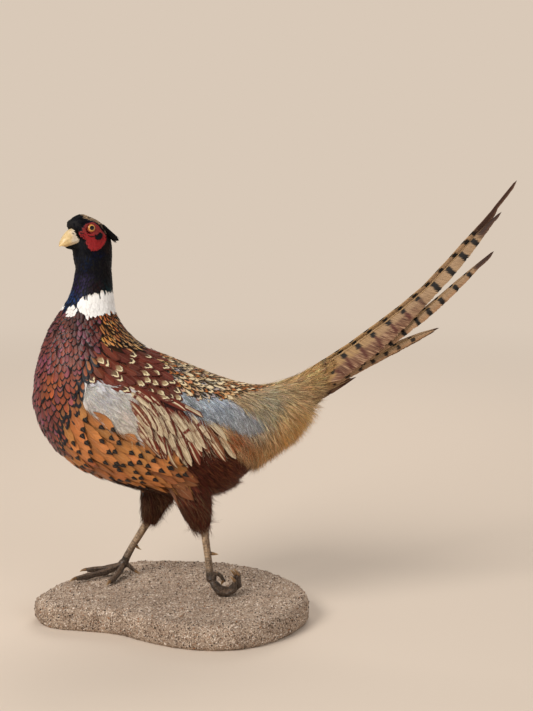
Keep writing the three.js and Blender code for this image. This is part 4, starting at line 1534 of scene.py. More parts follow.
for seed, (name, row) in enumerate(STRAND_FIELDS.items()):
    tract, count, length, radius, lift, free, darkest, lightest, other, other_share, slot = row
    chance = np.random.default_rng(300 + seed)
    chosen = tips_in(tract, length * 0.6) & tips_in(tract, length * 0.2)
    if tract in BURIED:
        chosen = chosen & (triangle_tract == TRACTS.index(tract))
    if name == "thigh_barbs":
        # Only on the thighs.
        chosen = chosen & (triangle_middle[:, 2] < 188 * MM) & (triangle_middle[:, 2] > 128 * MM)
    if tract == "covert":
        # Not over the root of the tail.
        chosen = chosen & ((triangle_middle[:, 1] < 184 * MM) | (triangle_middle[:, 2] < 320 * MM))
    if name == "skirt_barbs":
        # Only on the lower part of the coverts.
        y, z = triangle_middle[:, 1] / MM, triangle_middle[:, 2] / MM
        edge = (z < 300 - 0.45 * np.abs(y - 150)) & (y - 0.55 * z > -20)
        chosen = chosen & (y > 112) & (y < 176) & edge
    roots, normals = scatter(chosen, count, 320 + seed)
    swing = chance.normal(size=count) * (6 if tract in BURIED else 10)
    ways = swung(lie_at(roots, normals), normals, swing)
    lengths = length * MM * (0.7 + 0.5 * chance.random(count))
    rise = TRACT_FEATHERS[tract][6]
    start = rise * (0.75 if tract in BURIED else 0.5) * chance.random((count, 1)) ** 0.5
    if tract == "quill":
        start = rise * (0.9 + 0.3 * chance.random((count, 1)))
    roots = roots + normals * start * MM
    made = strand_set(roots, normals, ways, lengths, radius, lift, 340 + seed, free)
    colours = tint_at(roots + ways * length * 0.5 * MM, tract, 360 + seed, 0.12)
    colours = colours * (darkest + (lightest - darkest) * chance.random((count, 1)) ** 1.3)
    swap = chance.random(count) < other_share
    colours[swap] = all_of(other, swap.sum()) * (0.8 + 0.4 * chance.random((swap.sum(), 1)))
    coat_piece(name, FINISH["hair"], made, roots, colours, chance.random(count), sharp=False)
print(len(STRAND_FIELDS), "fields of strands")

# %% [markdown]
# ## Tail feathers
# Each tail feather keeps the line, the width and the hang of its solid. The solid is cut by planes
# across it, and the upper and lower edges of every cut are kept. The new feather is a grid whose rows
# are its barbs: they leave the shaft slanting towards the tip, so a ragged edge and the broken
# borders of the bars come by themselves when each row gets its own small error.

# %% Slicing the solids
# How many cuts each solid gets, and how far from the line a cut still belongs to the feather.
CUTS = 70
CUT_REACH = 0.045
# The part of a cut's height that counts as its edge.
EDGE = 0.8 * MM


def cut_across(points, pairs, spot, way):
    """Where a plane across the feather meets its solid's edges."""
    side = (points - spot) @ way
    a, b = pairs[:, 0], pairs[:, 1]
    crossing = side[a] * side[b] < 0
    a, b = a[crossing], b[crossing]
    t = side[a] / (side[a] - side[b])
    found = points[a] + (points[b] - points[a]) * t[:, None]
    return found[np.linalg.norm(found - spot, axis=1) < CUT_REACH]


def feather_edges(name):
    """The upper and lower edge of a feather's solid from root to tip, evenly by length."""
    solid, faces = node_arrays([name], 0.0)
    pairs = np.concatenate([faces[:, [0, 1]], faces[:, [1, 2]], faces[:, [2, 0]]])
    pairs = np.unique(np.sort(pairs, 1), axis=0)
    tip = solid[solid[:, 1].argmax()]
    order = solid[:, 1].argsort()
    root = solid[order[:4]].mean(0)
    line = root + (tip - root) * np.linspace(0.07, 0.985, CUTS)[:, None]
    for _ in range(3):
        way = unit(np.gradient(line, axis=0))
        way[:, 0] = 0
        way = unit(way)
        top, low = [], []
        for spot, direction in zip(line, way):
            found = cut_across(solid, pairs, spot, direction)
            upright = np.array([0, -direction[2], direction[1]])
            height = found @ upright
            top.append(found[height > height.max() - EDGE].mean(0))
            low.append(found[height < height.min() + EDGE].mean(0))
        top, low = np.array(top), np.array(low)
        line = (top + low) / 2
    back = unit(line[0] - line[CUTS // 10])
    lead = np.array([1.0, 0.5]) * 18 * MM
    top = np.concatenate([top[:1] + back * lead[:, None], top, tip[None]])
    low = np.concatenate([low[:1] + back * lead[:, None], low, tip[None]])
    length = np.concatenate([[0], np.cumsum(np.linalg.norm(np.diff((top + low) / 2, axis=0), axis=1))])
    return top, low, length


def follow(line, length, at):
    """Places at some lengths along a line."""
    return np.stack([np.interp(at, length, line[:, k]) for k in range(3)], -1)


print("each solid is cut", CUTS, "times")

# %% [markdown]
# The bars are listed by their distance from the tip, in millimetres. Near the root of the two centre
# feathers a bar is a black blob beside the shaft with a maroon streak below it, and the lower half of
# the vane is mauve and hairy. Further out the bars are black all the way across.

# %% Building the tail
TAIL = {
    # name: shaft's share of the width, width near the tip, dark tip, where bars go right across, bars
    "tail_centre_right": (
        0.07, 6.2, 82, 205, [366, 343, 321, 298, 274, 249, 224, 199, 177, 152, 126, 103, 88],
    ),
    "tail_centre_left": (
        0.06, 6.0, 40, 150, [323, 300, 278, 255, 231, 205, 181, 156, 128, 101, 76, 53],
    ),
    "tail_second_left": (0.20, 6.4, 31, 400, [223, 201, 179, 157, 135, 115, 94, 69, 45]),
    "tail_second_right": (0.20, 6.4, 31, 400, [215, 193, 171, 149, 127, 107, 86, 61, 40]),
    "tail_third_left": (0.34, 4.5, 7, 400, [157, 137, 117, 98, 78, 60, 39]),
    "tail_third_right": (0.34, 4.5, 7, 400, [151, 131, 111, 92, 72, 54, 33]),
    "tail_outer_left": (0.40, 4.0, 22, 400, [62, 42]),
    "tail_outer_right": (0.40, 4.0, 22, 400, [58, 38]),
}
BARB_STEP = 1.0 * MM
SLANT = 0.55
TAIL_COLUMNS = np.array([
    -1, -0.5, -0.06, 0.06, 0.15, 0.24, 0.33, 0.42, 0.52, 0.62, 0.72, 0.82, 0.92, 1.0,
])


def tail_colours(name, from_tip, across, row_error, chance):
    """Colours of the grid. across runs from -1 at the inner edge to 1 at the outer edge."""
    _, _, dark_tip, whole_bars, bars = TAIL[name]
    centre = "centre" in name
    rows = chance.normal(size=(len(from_tip), 1))
    base = np.ones(from_tip.shape + (3,)) * shade("#ac8e6d")[:3]
    base = paint(base, ease(from_tip, 170, 330) * 0.75 * (across < 0.5) * centre, "#b58d4e")
    base = paint(base, 0.25 + 0.18 * rows + 0 * across, "#8c6f55")
    if not centre:
        base = paint(base, 0.35 + 0 * across, "#96795a")
        base = paint(base, 0.5 * ease(across, 0.3, 1), "#a87a58")
    out = np.maximum(across, 0)
    if centre:
        mauve = ease(out, 0.33, 0.55) * ease(from_tip, whole_bars - 20, whole_bars + 45)
        base = paint(base, mauve * (0.82 + 0.14 * rows), "#76503d")
        hair = chance.random((len(from_tip), 1)) + 0.3 * np.sin(across * 9 + rows * 6)
        base = paint(base, mauve * ease(hair, 0.78, 1.0) * 0.75, "#c09c7c")
        base = paint(base, mauve * ease(-hair, -0.22, 0.02) * 0.8, "#4a2a20")
    near_bar = np.full(from_tip.shape, 99.0)
    for bar in bars:
        slip = from_tip - bar + row_error + 1.5 * np.sign(across)
        near_bar = np.where(np.abs(slip) < np.abs(near_bar), slip, near_bar)
    half = 3.9 if centre else 3.0
    black = 1 - ease(np.abs(near_bar), half - 0.7, half + 0.5)
    if centre:
        blob = 1 - ease(out, 0.27, 0.33)
        full = 1 - ease(from_tip, whole_bars - 12, whole_bars + 12)
        streak = (1 - ease(np.abs(near_bar + 1.0), 1.3, 3.4)) * (1 - blob) * (1 - full)
        base = paint(base, streak * 0.85 * (1 - ease(out, 0.82, 1.0)), "#4f1f1b")
        black = black * np.maximum(blob, full)
    elif "third" in name:
        black = black * (1 - ease(np.abs(across), 0.75, 1.0)) * 0.95
    base = paint(base, black * 0.99, "#120e0c")
    tip = 1 - ease(from_tip + row_error * 2, dark_tip - 3, dark_tip + 6)
    base = paint(base, tip * 0.93, "#553a2e")
    base = paint(base, tip * 0.8 * (1 - ease(np.abs(across - 0.15), 0.3, 0.75)), "#34221c")
    if "outer" in name:
        base = paint(base, 0.8 + 0 * across, "#4a2a1c")
    return np.clip(base, DARKEST, 1)


print("colours for", len(TAIL), "tail feathers")

# %% [markdown]
# The shaft is a slim tube along the vane. The vane itself is the grid of barbs, gently arched and
# rippled, with a few splits where barbs have come apart.

# %% Shaft and vane
def shaft_tube(line, radius, sides=6):
    """A slim closed tube along a line."""
    way = unit(np.gradient(line, axis=0))
    right = unit(np.cross(way, [0.0, 0.3, 1.0]))
    over = np.cross(right, way)
    turn = np.linspace(0, 2 * np.pi, sides, endpoint=False)
    ring = right[:, None] * np.cos(turn)[None, :, None] + over[:, None] * np.sin(turn)[None, :, None]
    body = (line[:, None] + ring * radius[:, None, None]).reshape(-1, 3)
    body = np.concatenate([body, line[:1], line[-1:]])
    grid = np.arange(len(line) * sides).reshape(-1, sides)
    turned = np.roll(grid, -1, axis=1)
    quads = np.stack([grid[:-1], turned[:-1], turned[1:], grid[1:]], -1).reshape(-1, 4)
    end = len(line) * sides
    caps = [(end, turned[0, k], grid[0, k]) for k in range(sides)]
    caps += [(end + 1, grid[-1, k], turned[-1, k]) for k in range(sides)]
    return body, quads, np.array(caps)


print("a shaft of two rings has", len(shaft_tube(np.eye(3)[:2], np.ones(2))[1]), "quads")

# %% [markdown]
# Each vane is laid out by its length and by its share of the width, and is then arched. In a few rows
# the barbs are shorter, which leaves a split in the edge.

# %% Layout of a tail feather
SPLIT_ROWS = 0.025
SHAFT_END = 0.985


def tail_layout(name, chance):
    """Where the grid and the shaft of a tail feather lie, and which way the grid faces."""
    share, fullness = TAIL[name][:2]
    top, low, length = feather_edges(name)
    total = length[-1]
    down = unit(low - top + 1e-9)
    down[-1] = down[-2] = down[-3]
    gap = np.linalg.norm(low - top, axis=1)
    wanted = fullness * MM * (1 - np.exp(-(total - length) / (7 * MM)))
    near_tip = ease((total - length) / MM, 120, 70)
    low = top + down * np.maximum(gap, wanted * near_tip)[:, None]
    rows = int(total / BARB_STEP)
    at = np.linspace(0, total, rows)
    columns = TAIL_COLUMNS
    fraction = np.where(columns < 0, share * (1 + columns), share + (1 - share) * columns)
    width = np.linalg.norm(follow(low, length, at) - follow(top, length, at), axis=1)
    reach = at[:, None] + SLANT * (np.abs(fraction - share) * width[:, None])
    reach = np.minimum(reach, total)
    upper, lower = follow(top, length, reach), follow(low, length, reach)
    error = chance.normal(size=rows)
    rough = error + np.convolve(chance.normal(size=rows), np.ones(5) / 2.2, "same")
    splits = np.where(chance.random(rows) < SPLIT_ROWS, -1.0, 0.0)
    splits = np.convolve(splits, [0.4, 1.0, 0.6], "same")
    wide = 1 + (0.012 * rough + 0.07 * splits)[:, None] * np.maximum(columns, 0) ** 3
    spread_out = fraction[None, :] * np.where(columns > 0, wide, 1.0)
    body = upper + (lower - upper) * spread_out[..., None]
    sign = 1.0 if name.endswith("left") else -1.0
    along = unit(np.gradient((top + low) / 2, axis=0))
    along = unit(follow(along, length, reach))
    face = unit(np.cross(along, unit(lower - upper + 1e-9)))
    face = face * np.sign(face[..., :1] * sign + 1e-12)
    arch = 0.06 * np.sin(np.pi * np.clip(columns, 0, 1))[None, :] * width[:, None]
    ripple = 0.00022 * np.sin(at[:, None] * 2400 + columns * 5) * np.maximum(columns, 0)
    arch = arch + ripple * (width > 0.006)[:, None]
    body = body + face * arch[..., None]
    stem_at = np.linspace(0, total * SHAFT_END, rows // 4)
    stem = follow(top, length, stem_at) * (1 - share) + follow(low, length, stem_at) * share
    return SimpleNamespace(
        body=body, face=face, at=at, reach=reach, error=error, total=total, stem=stem, stem_at=stem_at,
    )


print("rows are", BARB_STEP / MM, "mm apart")

# %% [markdown]
# The vane gets its underside, its colours and its maps, and the shaft is set along it. The two
# together take the place of the solid.

# %% One tail feather
TAIL_THICKNESS = 0.45 * MM


def tail_feather(name, seed, finish):
    """Builds one tail feather, vane and shaft, over its solid."""
    chance = np.random.default_rng(seed)
    grid = tail_layout(name, chance)
    body, face, total = grid.body, grid.face, grid.total
    run = grid.stem_at / total
    inner = body[1:-1, 1:-1] - face[1:-1, 1:-1] * TAIL_THICKNESS
    face_there = np.stack([np.interp(grid.stem_at, grid.at, face[:, 3, k]) for k in range(3)], 1)
    radius = np.interp(run, [0, 0.6, 1], [1.15, 0.75, 0.25]) * MM
    tube, quads, caps = shaft_tube(grid.stem + face_there * 0.15 * MM, radius)
    vane = vane_faces(*body.shape[:2])
    if name.endswith("right"):
        vane = vane[:, ::-1]
    points_all = np.concatenate([body.reshape(-1, 3), inner.reshape(-1, 3), tube])
    start = len(points_all) - len(tube)
    from_tip = (total - grid.reach) / MM
    row_error = (0.55 * grid.error)[:, None] * np.sign(TAIL_COLUMNS)
    colours = tail_colours(name, from_tip, TAIL_COLUMNS + 0 * from_tip, row_error, chance)
    # The right centre feather's underside, which faces away from the key lamp, is painted half again
    # lighter to lift its shade; the other feathers' undersides are a little darker.
    under = colours * (1.5 if name == "tail_centre_right" else 0.8)
    stem_colour = all_of("#a98a62", len(tube))
    ringed = len(run) * 6
    tipward = np.repeat(np.interp(run, [0.75, 0.95], [0, 1]), 6)
    stem_colour[:ringed] = paint(stem_colour[:ringed], tipward, "#3a261c")
    every = np.concatenate([colours.reshape(-1, 3), under[1:-1, 1:-1].reshape(-1, 3), stem_colour])
    leaf = np.stack(np.broadcast_arrays(TAIL_COLUMNS[None, :] / 2 + 0.5, (grid.at / total)[:, None]), -1)
    tube_leaf = np.full((len(tube), 2), 0.5)
    tube_leaf[:ringed, 1] = np.repeat(run, 6)
    map_of = np.concatenate([
        leaf.reshape(-1, 2) * [0.44, 0.98] + [0.01, 0.01],
        leaf[1:-1, 1:-1].reshape(-1, 2) * [0.44, 0.98] + [0.48, 0.01],
        np.stack([np.tile([0.95, 0.96, 0.97, 0.98, 0.97, 0.96], len(tube) // 6 + 1)[:len(tube)],
                  tube_leaf[:, 1] * 0.98 + 0.01], 1),
    ])
    vane_map = np.concatenate([leaf.reshape(-1, 2), leaf[1:-1, 1:-1].reshape(-1, 2), tube_leaf])
    quads = np.concatenate([vane, quads + start])
    mesh = build_mesh(name + "_feather", points_all, quads, caps + start)
    mesh.shade_smooth()
    set_uv(mesh, "vane", vane_map)
    set_uv(mesh, "OFBake", map_of)
    set_tint(mesh, every, total)
    mesh.set_sharp_from_angle(angle=math.radians(50))
    place(mesh, name + "_feather", finish, [name])


print("tail feathers can be built")

# %% [markdown]
# One finish serves all tail feathers, because their bars are in the colours of their vertices.
# It only adds the fine lines of the barbs.

# %% Tail finish
def make_tail_finish():
    """Fine lines of barbs over the bars."""
    made, tree, surface = material(
        "tail_feather", Roughness=0.6, Specular_IOR_Level=0.22, Sheen_Weight=0.04, Sheen_Roughness=0.4,
    )
    breadth, along = map_parts(tree, "vane")
    run = times(tree, along, attribute(tree, "tint", "Alpha"))
    barb = pattern(tree, (run, 1500.0), (breadth, 3.0), (2.0, 1.0), detail=3.0)
    colour = toned(tree, attribute(tree, "tint"), barb, (0.66, 0.62, 0.58), (1.16, 1.15, 1.14), 0.3, 0.7)
    wire(tree, colour, surface, "Base Color")
    bump(tree, surface, barb, 0.5, 0.0004)
    return made


tail_finish = make_tail_finish()
for seed, name in enumerate(TAIL):
    tail_feather(name, 60 + seed, tail_finish)
print("tail feathers built:", len(TAIL))

# %% [markdown]
# Golden barbs of the last coverts lie over the root of the tail, so that no edge shows where the
# tail comes out of the body.

# %% Barbs over the root of the tail
def tail_root_barbs(count, seed):
    """Loose barbs that run out from the last coverts along the tail."""
    chance = np.random.default_rng(seed)
    y, z = triangle_middle[:, 1] / MM, triangle_middle[:, 2] / MM
    chosen = (triangle_tract == TRACTS.index("covert")) & (y > 160) & (z > 288)
    chosen = chosen & (triangle_normal @ [0, 0.86, 0.5] < 0.45)
    roots, normals = scatter(chosen, count, seed + 1)
    ways = np.stack([-roots[:, 0] / (42 * MM), np.full(count, 0.86), np.full(count, 0.46)], 1)
    low = ease(-roots[:, 2] / MM, -322, -296)
    ways[:, 2] -= 0.42 * low
    ways = unit(ways + chance.normal(size=(count, 3)) * [0.04, 0.05, 0.06])
    high = ease(roots[:, 2] / MM, 322, 338)
    ways[:, 2] -= 0.12 * high
    ways = unit(ways)
    lengths = (17 + 19 * chance.random(count)) * MM * (1 - 0.35 * low) * (1 - 0.62 * high)
    made = strand_set(roots, normals, ways, lengths, 0.19, 1.2, seed + 2, 1.0)
    colours = tint_at(roots, "covert", seed + 3, 0.16) * (0.5 + 1.3 * chance.random((count, 1)) ** 1.5)
    coat_piece(
        "tail_root_barbs", FINISH["hair"], made, roots, colours, chance.random(count),
        sharp=False,
    )


tail_root_barbs(5000, 480)

# %% [markdown]
# ## Legs, toes and claws
# The shanks and feet keep their solids' shape, smoothed over a fine voxel mesh. The scales are pushed
# in as grooves: on a shank they stand in two staggered rows down the front, and on the toes they ring
# the upper side. To know what is front and how far along, each scale is placed by the line down the
# middle of the bone it sits on.

# %% Leg lines
LEG_LINES = {
    "left": {
        "shank": [(36, 42, 128), (36, 45, 104), (36.4, 48, 80), (37, 51, 60)],
        "toes": [
            [(37, 51, 58), (30, 56, 48), (28, 65, 39.6), (28, 77, 39.8), (28, 84, 48), (28, 82, 58)],
            [(37, 51, 58), (37, 56, 46), (37, 65, 38.8), (37, 79, 39.6), (37, 88, 49), (37, 87, 60)],
            [
                (37, 51, 58), (44.5, 56, 47), (46.5, 64, 39.4), (46.5, 75, 39.4), (46.5, 82.5, 46),
                (46.5, 82, 55),
            ],
            [(37, 53, 62), (36, 59, 63.5), (35, 64, 60), (35, 67, 54)],
        ],
    },
    "right": {
        "shank": [(-46, -36, 112), (-48, -48, 92), (-50, -60, 72), (-52, -70, 52)],
        "toes": [
            [(-52, -70, 50), (-30, -76, 43), (-14, -82, 39.4), (-6, -85, 39)],
            [(-52, -70, 50), (-45, -90, 42), (-33, -110, 39.6), (-18, -131, 39.4)],
            [(-52, -70, 50), (-57, -88, 43), (-58, -106, 40), (-56, -121, 39.6)],
            [(-52, -69, 52), (-50, -62, 46), (-48, -56, 41)],
        ],
    },
}


print("toes on each foot:", len(LEG_LINES["left"]["toes"]))

# %% [markdown]
# Scales are grooves at even steps along a bone's line. The grooves of the toes are taken from
# whichever toe is nearest.

# %% Grooves between scales
def nearest_on(points, line):
    """Distance to a line, length along it, and the offset from it, in millimetres."""
    corners = np.asarray(line, float)
    flat = points / MM
    best = np.full(len(flat), 1e9)
    along = np.zeros(len(flat))
    offset = np.zeros((len(flat), 3))
    run = 0.0
    for a, b in zip(corners[:-1], corners[1:]):
        edge = b - a
        size = np.linalg.norm(edge)
        t = np.clip(((flat - a) @ edge) / size ** 2, 0, 1)
        gap = flat - a - t[:, None] * edge
        away = np.linalg.norm(gap, axis=1)
        closer = away < best
        best = np.where(closer, away, best)
        along = np.where(closer, run + t * size, along)
        offset = np.where(closer[:, None], gap, offset)
        run += size
    return best, along, offset


def groove(value, width):
    """1 in the groove at whole numbers of value, 0 away from it."""
    near = np.abs(value - np.round(value))
    return 1 - ease(near, width * 0.3, width)


print("groove depths", groove(np.array([0.0, 0.1, 0.5]), 0.16).round(2))

# %% [markdown]
# The legs, the bill and the slab keep the shape of their solids. Each solid is remeshed finely and
# relaxed, and its points and normals are then at hand to press details in.

# %% One solid as a smooth mesh
def remeshed_node(node, name, swell, voxel, rounds):
    """One solid as a smooth mesh of small quads, with its points and normals."""
    solid, faces = node_arrays([node], swell)
    mesh = remeshed(name, solid, faces, voxel)
    spots = relaxed(read(mesh), edges_of(mesh), rounds)
    write_points(mesh, spots)
    return mesh, spots, read(mesh, "normal")


print("single solids can be remeshed")

# %% [markdown]
# Shanks are pale in front and darker below, and the toes are dark, with a painted highlight on their upper
# sides.

# %% Scaled legs
SIDES = ("left", "right")
LEG_SWELL = 0.25 * MM
LEG_VOXEL = 0.65 * MM
GROOVE_DEPTH = 0.34 * MM
SHANK_FRONT = (0.0, -1.0, 0.15)


def scaly(side, node, finish, shank):
    """One shank or foot as a scaled piece, from its solid."""
    mesh, spots, normal = remeshed_node(node, node + "_scaled", LEG_SWELL, LEG_VOXEL, 10)
    lines = LEG_LINES[side]
    _, along, offset = nearest_on(spots, lines["shank"])
    facing = unit(offset) @ SHANK_FRONT
    round_way = unit(offset)[:, 0]
    column = np.where(round_way > 0, 0.5, 0.0)
    rows = groove(along / 3.7 + column, 0.16)
    seam = 1 - ease(np.abs(round_way), 0.03, 0.14)
    plates = np.maximum(rows, seam) * ease(facing, -0.35, 0.0)
    small = np.maximum(
        groove(along / 2.3 + np.floor(round_way * 4 + 0.5) * 0.5, 0.22), groove(round_way * 4, 0.16),
    ) * (1 - ease(facing, -0.35, 0.0)) * 0.7
    depth = np.maximum(plates, small)
    if not shank:
        best = np.full(len(spots), 1e9)
        toe_depth = np.zeros(len(spots))
        for line in lines["toes"]:
            away, along, offset = nearest_on(spots, line)
            ringed = groove(along / 2.5, 0.2) * ease(offset[:, 2], -1.6, -0.2)
            pads = groove(along / 4.6, 0.16) * ease(-offset[:, 2], 0.4, 2.0) * 0.8
            toe_depth = np.where(away < best, np.maximum(ringed, pads), toe_depth)
            best = np.minimum(best, away)
        depth = toe_depth
    write_points(mesh, spots - normal * (depth * GROOVE_DEPTH)[:, None])
    mesh.shade_smooth()
    low = ease(-spots[:, 2] / MM, -96, -56)
    if shank:
        base = all_of("#846a50", len(spots))
        base = paint(base, ease(facing, -0.4, 0.2) * 0.6, "#bda488")
        base = paint(base, low * 0.85, "#463830")
    else:
        base = all_of("#3f3229", len(spots))
        base = paint(base, (1 - low) * 0.9, "#8f7b66")
        base = paint(base, ease(-normal[:, 2], 0.2, 0.8) * 0.5, "#5b4a3c")
        # On the toes, faces that look up are painted lighter, a painted highlight.
        base = paint(base, ease(normal[:, 2], 0.3, 0.9) * 0.35, "#7d6450")
    base = paint(base, depth * 0.55, "#2b211b" if shank else "#15110f")
    set_tint(mesh, base, depth)
    place(mesh, node + "_scaled", finish, [node])


def make_scale_finish(name, roughness, speck, speck_share):
    """Blotched scales with pale specks."""
    made, tree, surface = material(name, Roughness=roughness, Specular_IOR_Level=0.4)
    blotch = noise(tree, object_place(tree), 260.0, 4.0)
    fine = noise(tree, object_place(tree), 1400.0, 3.0)
    colour = toned(tree, attribute(tree, "tint"), blotch, (0.56, 0.5, 0.45), (1.3, 1.26, 1.2), 0.36, 0.62)
    colour = mixed(tree, times(tree, mask(tree, fine, 0.55, 0.66), speck_share), colour, speck)
    wire(tree, colour, surface, "Base Color")
    bump(tree, surface, fine, 0.35, 0.0003)
    return made


shank_finish = make_scale_finish("shank_scale", 0.42, "#dccfba", 0.55)
toe_finish = make_scale_finish("toe_scale", 0.33, "#b6a28a", 0.35)
for side in SIDES:
    scaly(side, f"tarsus_{side}", shank_finish, True)
    scaly(side, f"foot_{side}", toe_finish, False)

# %% [markdown]
# Claws and spurs are curved cones. The line of each one is read from its solid: from the end near
# the toe to the point, bent the way the solid bends.

# %% Claws
HORN_SIDES = 12


def curve_through(start, middle, end, t):
    """Places along the smooth curve that runs from start to end and passes the middle half way."""
    bend = 2 * middle - (start + end) / 2
    return ((1 - t) ** 2)[:, None] * start + (2 * t * (1 - t))[:, None] * bend + (t ** 2)[:, None] * end


def horn(node, finish, thick):
    """One claw or spur as a curved cone, from its solid."""
    solid, _ = node_arrays([node], 0.0)
    middle = solid.mean(0)
    spread_of = np.linalg.svd(solid - middle)[2][0]
    reach = (solid - middle) @ spread_of
    ends = [solid[reach < reach.min() + 1.2 * MM], solid[reach > reach.max() - 1.2 * MM]]
    sizes = [np.ptp(e, axis=0).max() for e in ends]
    root, tip = (ends[0], ends[1]) if sizes[0] > sizes[1] else (ends[1], ends[0])
    root, tip = root.mean(0), tip.mean(0)
    inside = solid[np.abs(reach - (reach.min() + reach.max()) / 2) < np.ptp(reach) * 0.25]
    bend = inside.mean(0) if len(inside) else middle
    root = root + (root - bend) * 0.15
    t = np.linspace(0, 1, HORN_SIDES)
    radius = thick * MM * (1 - t ** 1.6) ** 0.8 + 0.12 * MM
    body, quads, caps = shaft_tube(curve_through(root, bend, tip, t), radius, HORN_SIDES)
    mesh = build_mesh(node + "_horn", body, quads, caps)
    mesh.shade_smooth()
    leaf = np.zeros((len(body), 2))
    leaf[:-2, 0] = np.tile(np.arange(HORN_SIDES) / HORN_SIDES, HORN_SIDES)
    leaf[:-2, 1] = np.repeat(t, HORN_SIDES)
    leaf[-1] = (0.5, 1)
    set_uv(mesh, "horn", leaf)
    place(mesh, node + "_horn", finish, [node])


def make_horn_finish():
    """Brown horn, darker at the root and paler at the point."""
    made, tree, surface = material("claw_horn", Roughness=0.4, Specular_IOR_Level=0.45)
    _, along = map_parts(tree, "horn")
    cloud = noise(tree, object_place(tree), 700.0, 3.0)
    colour = mixed(tree, mask(tree, cloud, 0.35, 0.65), "#5c432e", "#8d6a44")
    colour = mixed(tree, mask(tree, along, 0.45, 1.0), colour, "#a98a60")
    root = flipped(tree, mask(tree, along, 0.0, 0.25))
    colour = mixed(tree, root, colour, "#3a2c22")
    wire(tree, colour, surface, "Base Color")
    bump(tree, surface, cloud, 0.3, 0.0003)
    return made


horn_finish = make_horn_finish()
for side in SIDES:
    for number in range(1, 5):
        horn(f"claw_{side}_{number}", horn_finish, 2.2)
    horn(f"spur_{side}", horn_finish, 2.5)

# %% [markdown]
# ## The sanded base
# The base is a cast slab rolled in sand. Its solid is remeshed and its surface is made uneven, and
# loose grains are scattered over the top and sides. Every grain, and every small cell of the slab
# between the grains, has its own random number, which the finish turns into grey, cream, rust or
# black.

# %% Base slab
def waves(points, scale, seed):
    """Smooth bumps from a few crossing sine waves, between about -1 and 1."""
    chance = np.random.default_rng(seed)
    total = np.zeros(len(points))
    for k in range(7):
        way = unit(chance.normal(size=3)) * scale * (1 + 0.35 * k)
        total += np.sin(points @ way + chance.random() * 6.28) / (1 + 0.3 * k)
    return total / 3.2


SLAB_VOXEL = 2.8 * MM
slab_mesh, slab_spots, slab_normals = remeshed_node("base_slab", "base_slab_sanded", 0.0, SLAB_VOXEL, 6)
floor_level = slab_spots[:, 2] < 1.2 * MM
lump = 1.1 * waves(slab_spots, 95, 4) + 0.8 * waves(slab_spots, 330, 5)
lump += np.random.default_rng(6).normal(size=len(slab_spots)) * 0.22
slab_spots += slab_normals * (lump * MM * ease(slab_spots[:, 2] / MM, 1, 7))[:, None]
slab_spots[floor_level, 2] = 0
slab_spots[:, 2] = np.maximum(slab_spots[:, 2], 0)
write_points(slab_mesh, slab_spots)
slab_mesh.shade_smooth()


def sand_colours(tree, number):
    """Grain colours from a random number: mostly grey beige, some cream, rust and black."""
    ramp = put(tree, "ShaderNodeValToRGB", {0: number})
    ramp.color_ramp.interpolation = "CONSTANT"
    stops = [
        (0.0, "#97826f"), (0.2, "#ab9785"), (0.46, "#baa795"), (0.62, "#7d695a"), (0.72, "#d1beab"),
        (0.79, "#483a32"), (0.845, "#996c4b"), (0.875, "#eaddd0"), (0.925, "#221a17"), (0.965, "#a69180"),
    ]
    for k, (place_at, code) in enumerate(stops):
        element = ramp.color_ramp.elements[k] if k < 2 else ramp.color_ramp.elements.new(place_at)
        element.position = place_at
        element.color = shade(code)
    return ramp.outputs[0]


def make_sand_finish(name, by_grain):
    """Sand: by the number of each loose grain, or by small cells on the slab between them."""
    made, tree, surface = material(name, Roughness=0.9, Specular_IOR_Level=0.25)
    spot = object_place(tree)
    if by_grain:
        number = attribute(tree, "grain", "Fac")
    else:
        cells = put(tree, "ShaderNodeTexVoronoi", {"Vector": spot, "Scale": 900.0})
        number = put(tree, "ShaderNodeSeparateColor", {0: cells.outputs["Color"]}).outputs[0]
    broad = noise(tree, spot, 42.0, 3.0)
    colour = toned(tree, sand_colours(tree, number), broad, (0.86, 0.83, 0.8), (1.06, 1.05, 1.03))
    wire(tree, colour, surface, "Base Color")
    bump(tree, surface, noise(tree, spot, 1100.0, 3.0), 0.7, 0.0006)
    return made


sand_finish = make_sand_finish("sand_bed", False)
grain_finish = make_sand_finish("sand_grain", True)
place(slab_mesh, "base_slab_sanded", sand_finish, ["base_slab"])

# %% [markdown]
# The loose grains come from one node tree. It scatters places over the slab, puts a turned and
# stretched stone on each, and gives every stone its number.

# %% Grains by Geometry Nodes
# No grain grows lower than this, so that none sinks below the floor.
LOWEST_GRAIN = 0.0036


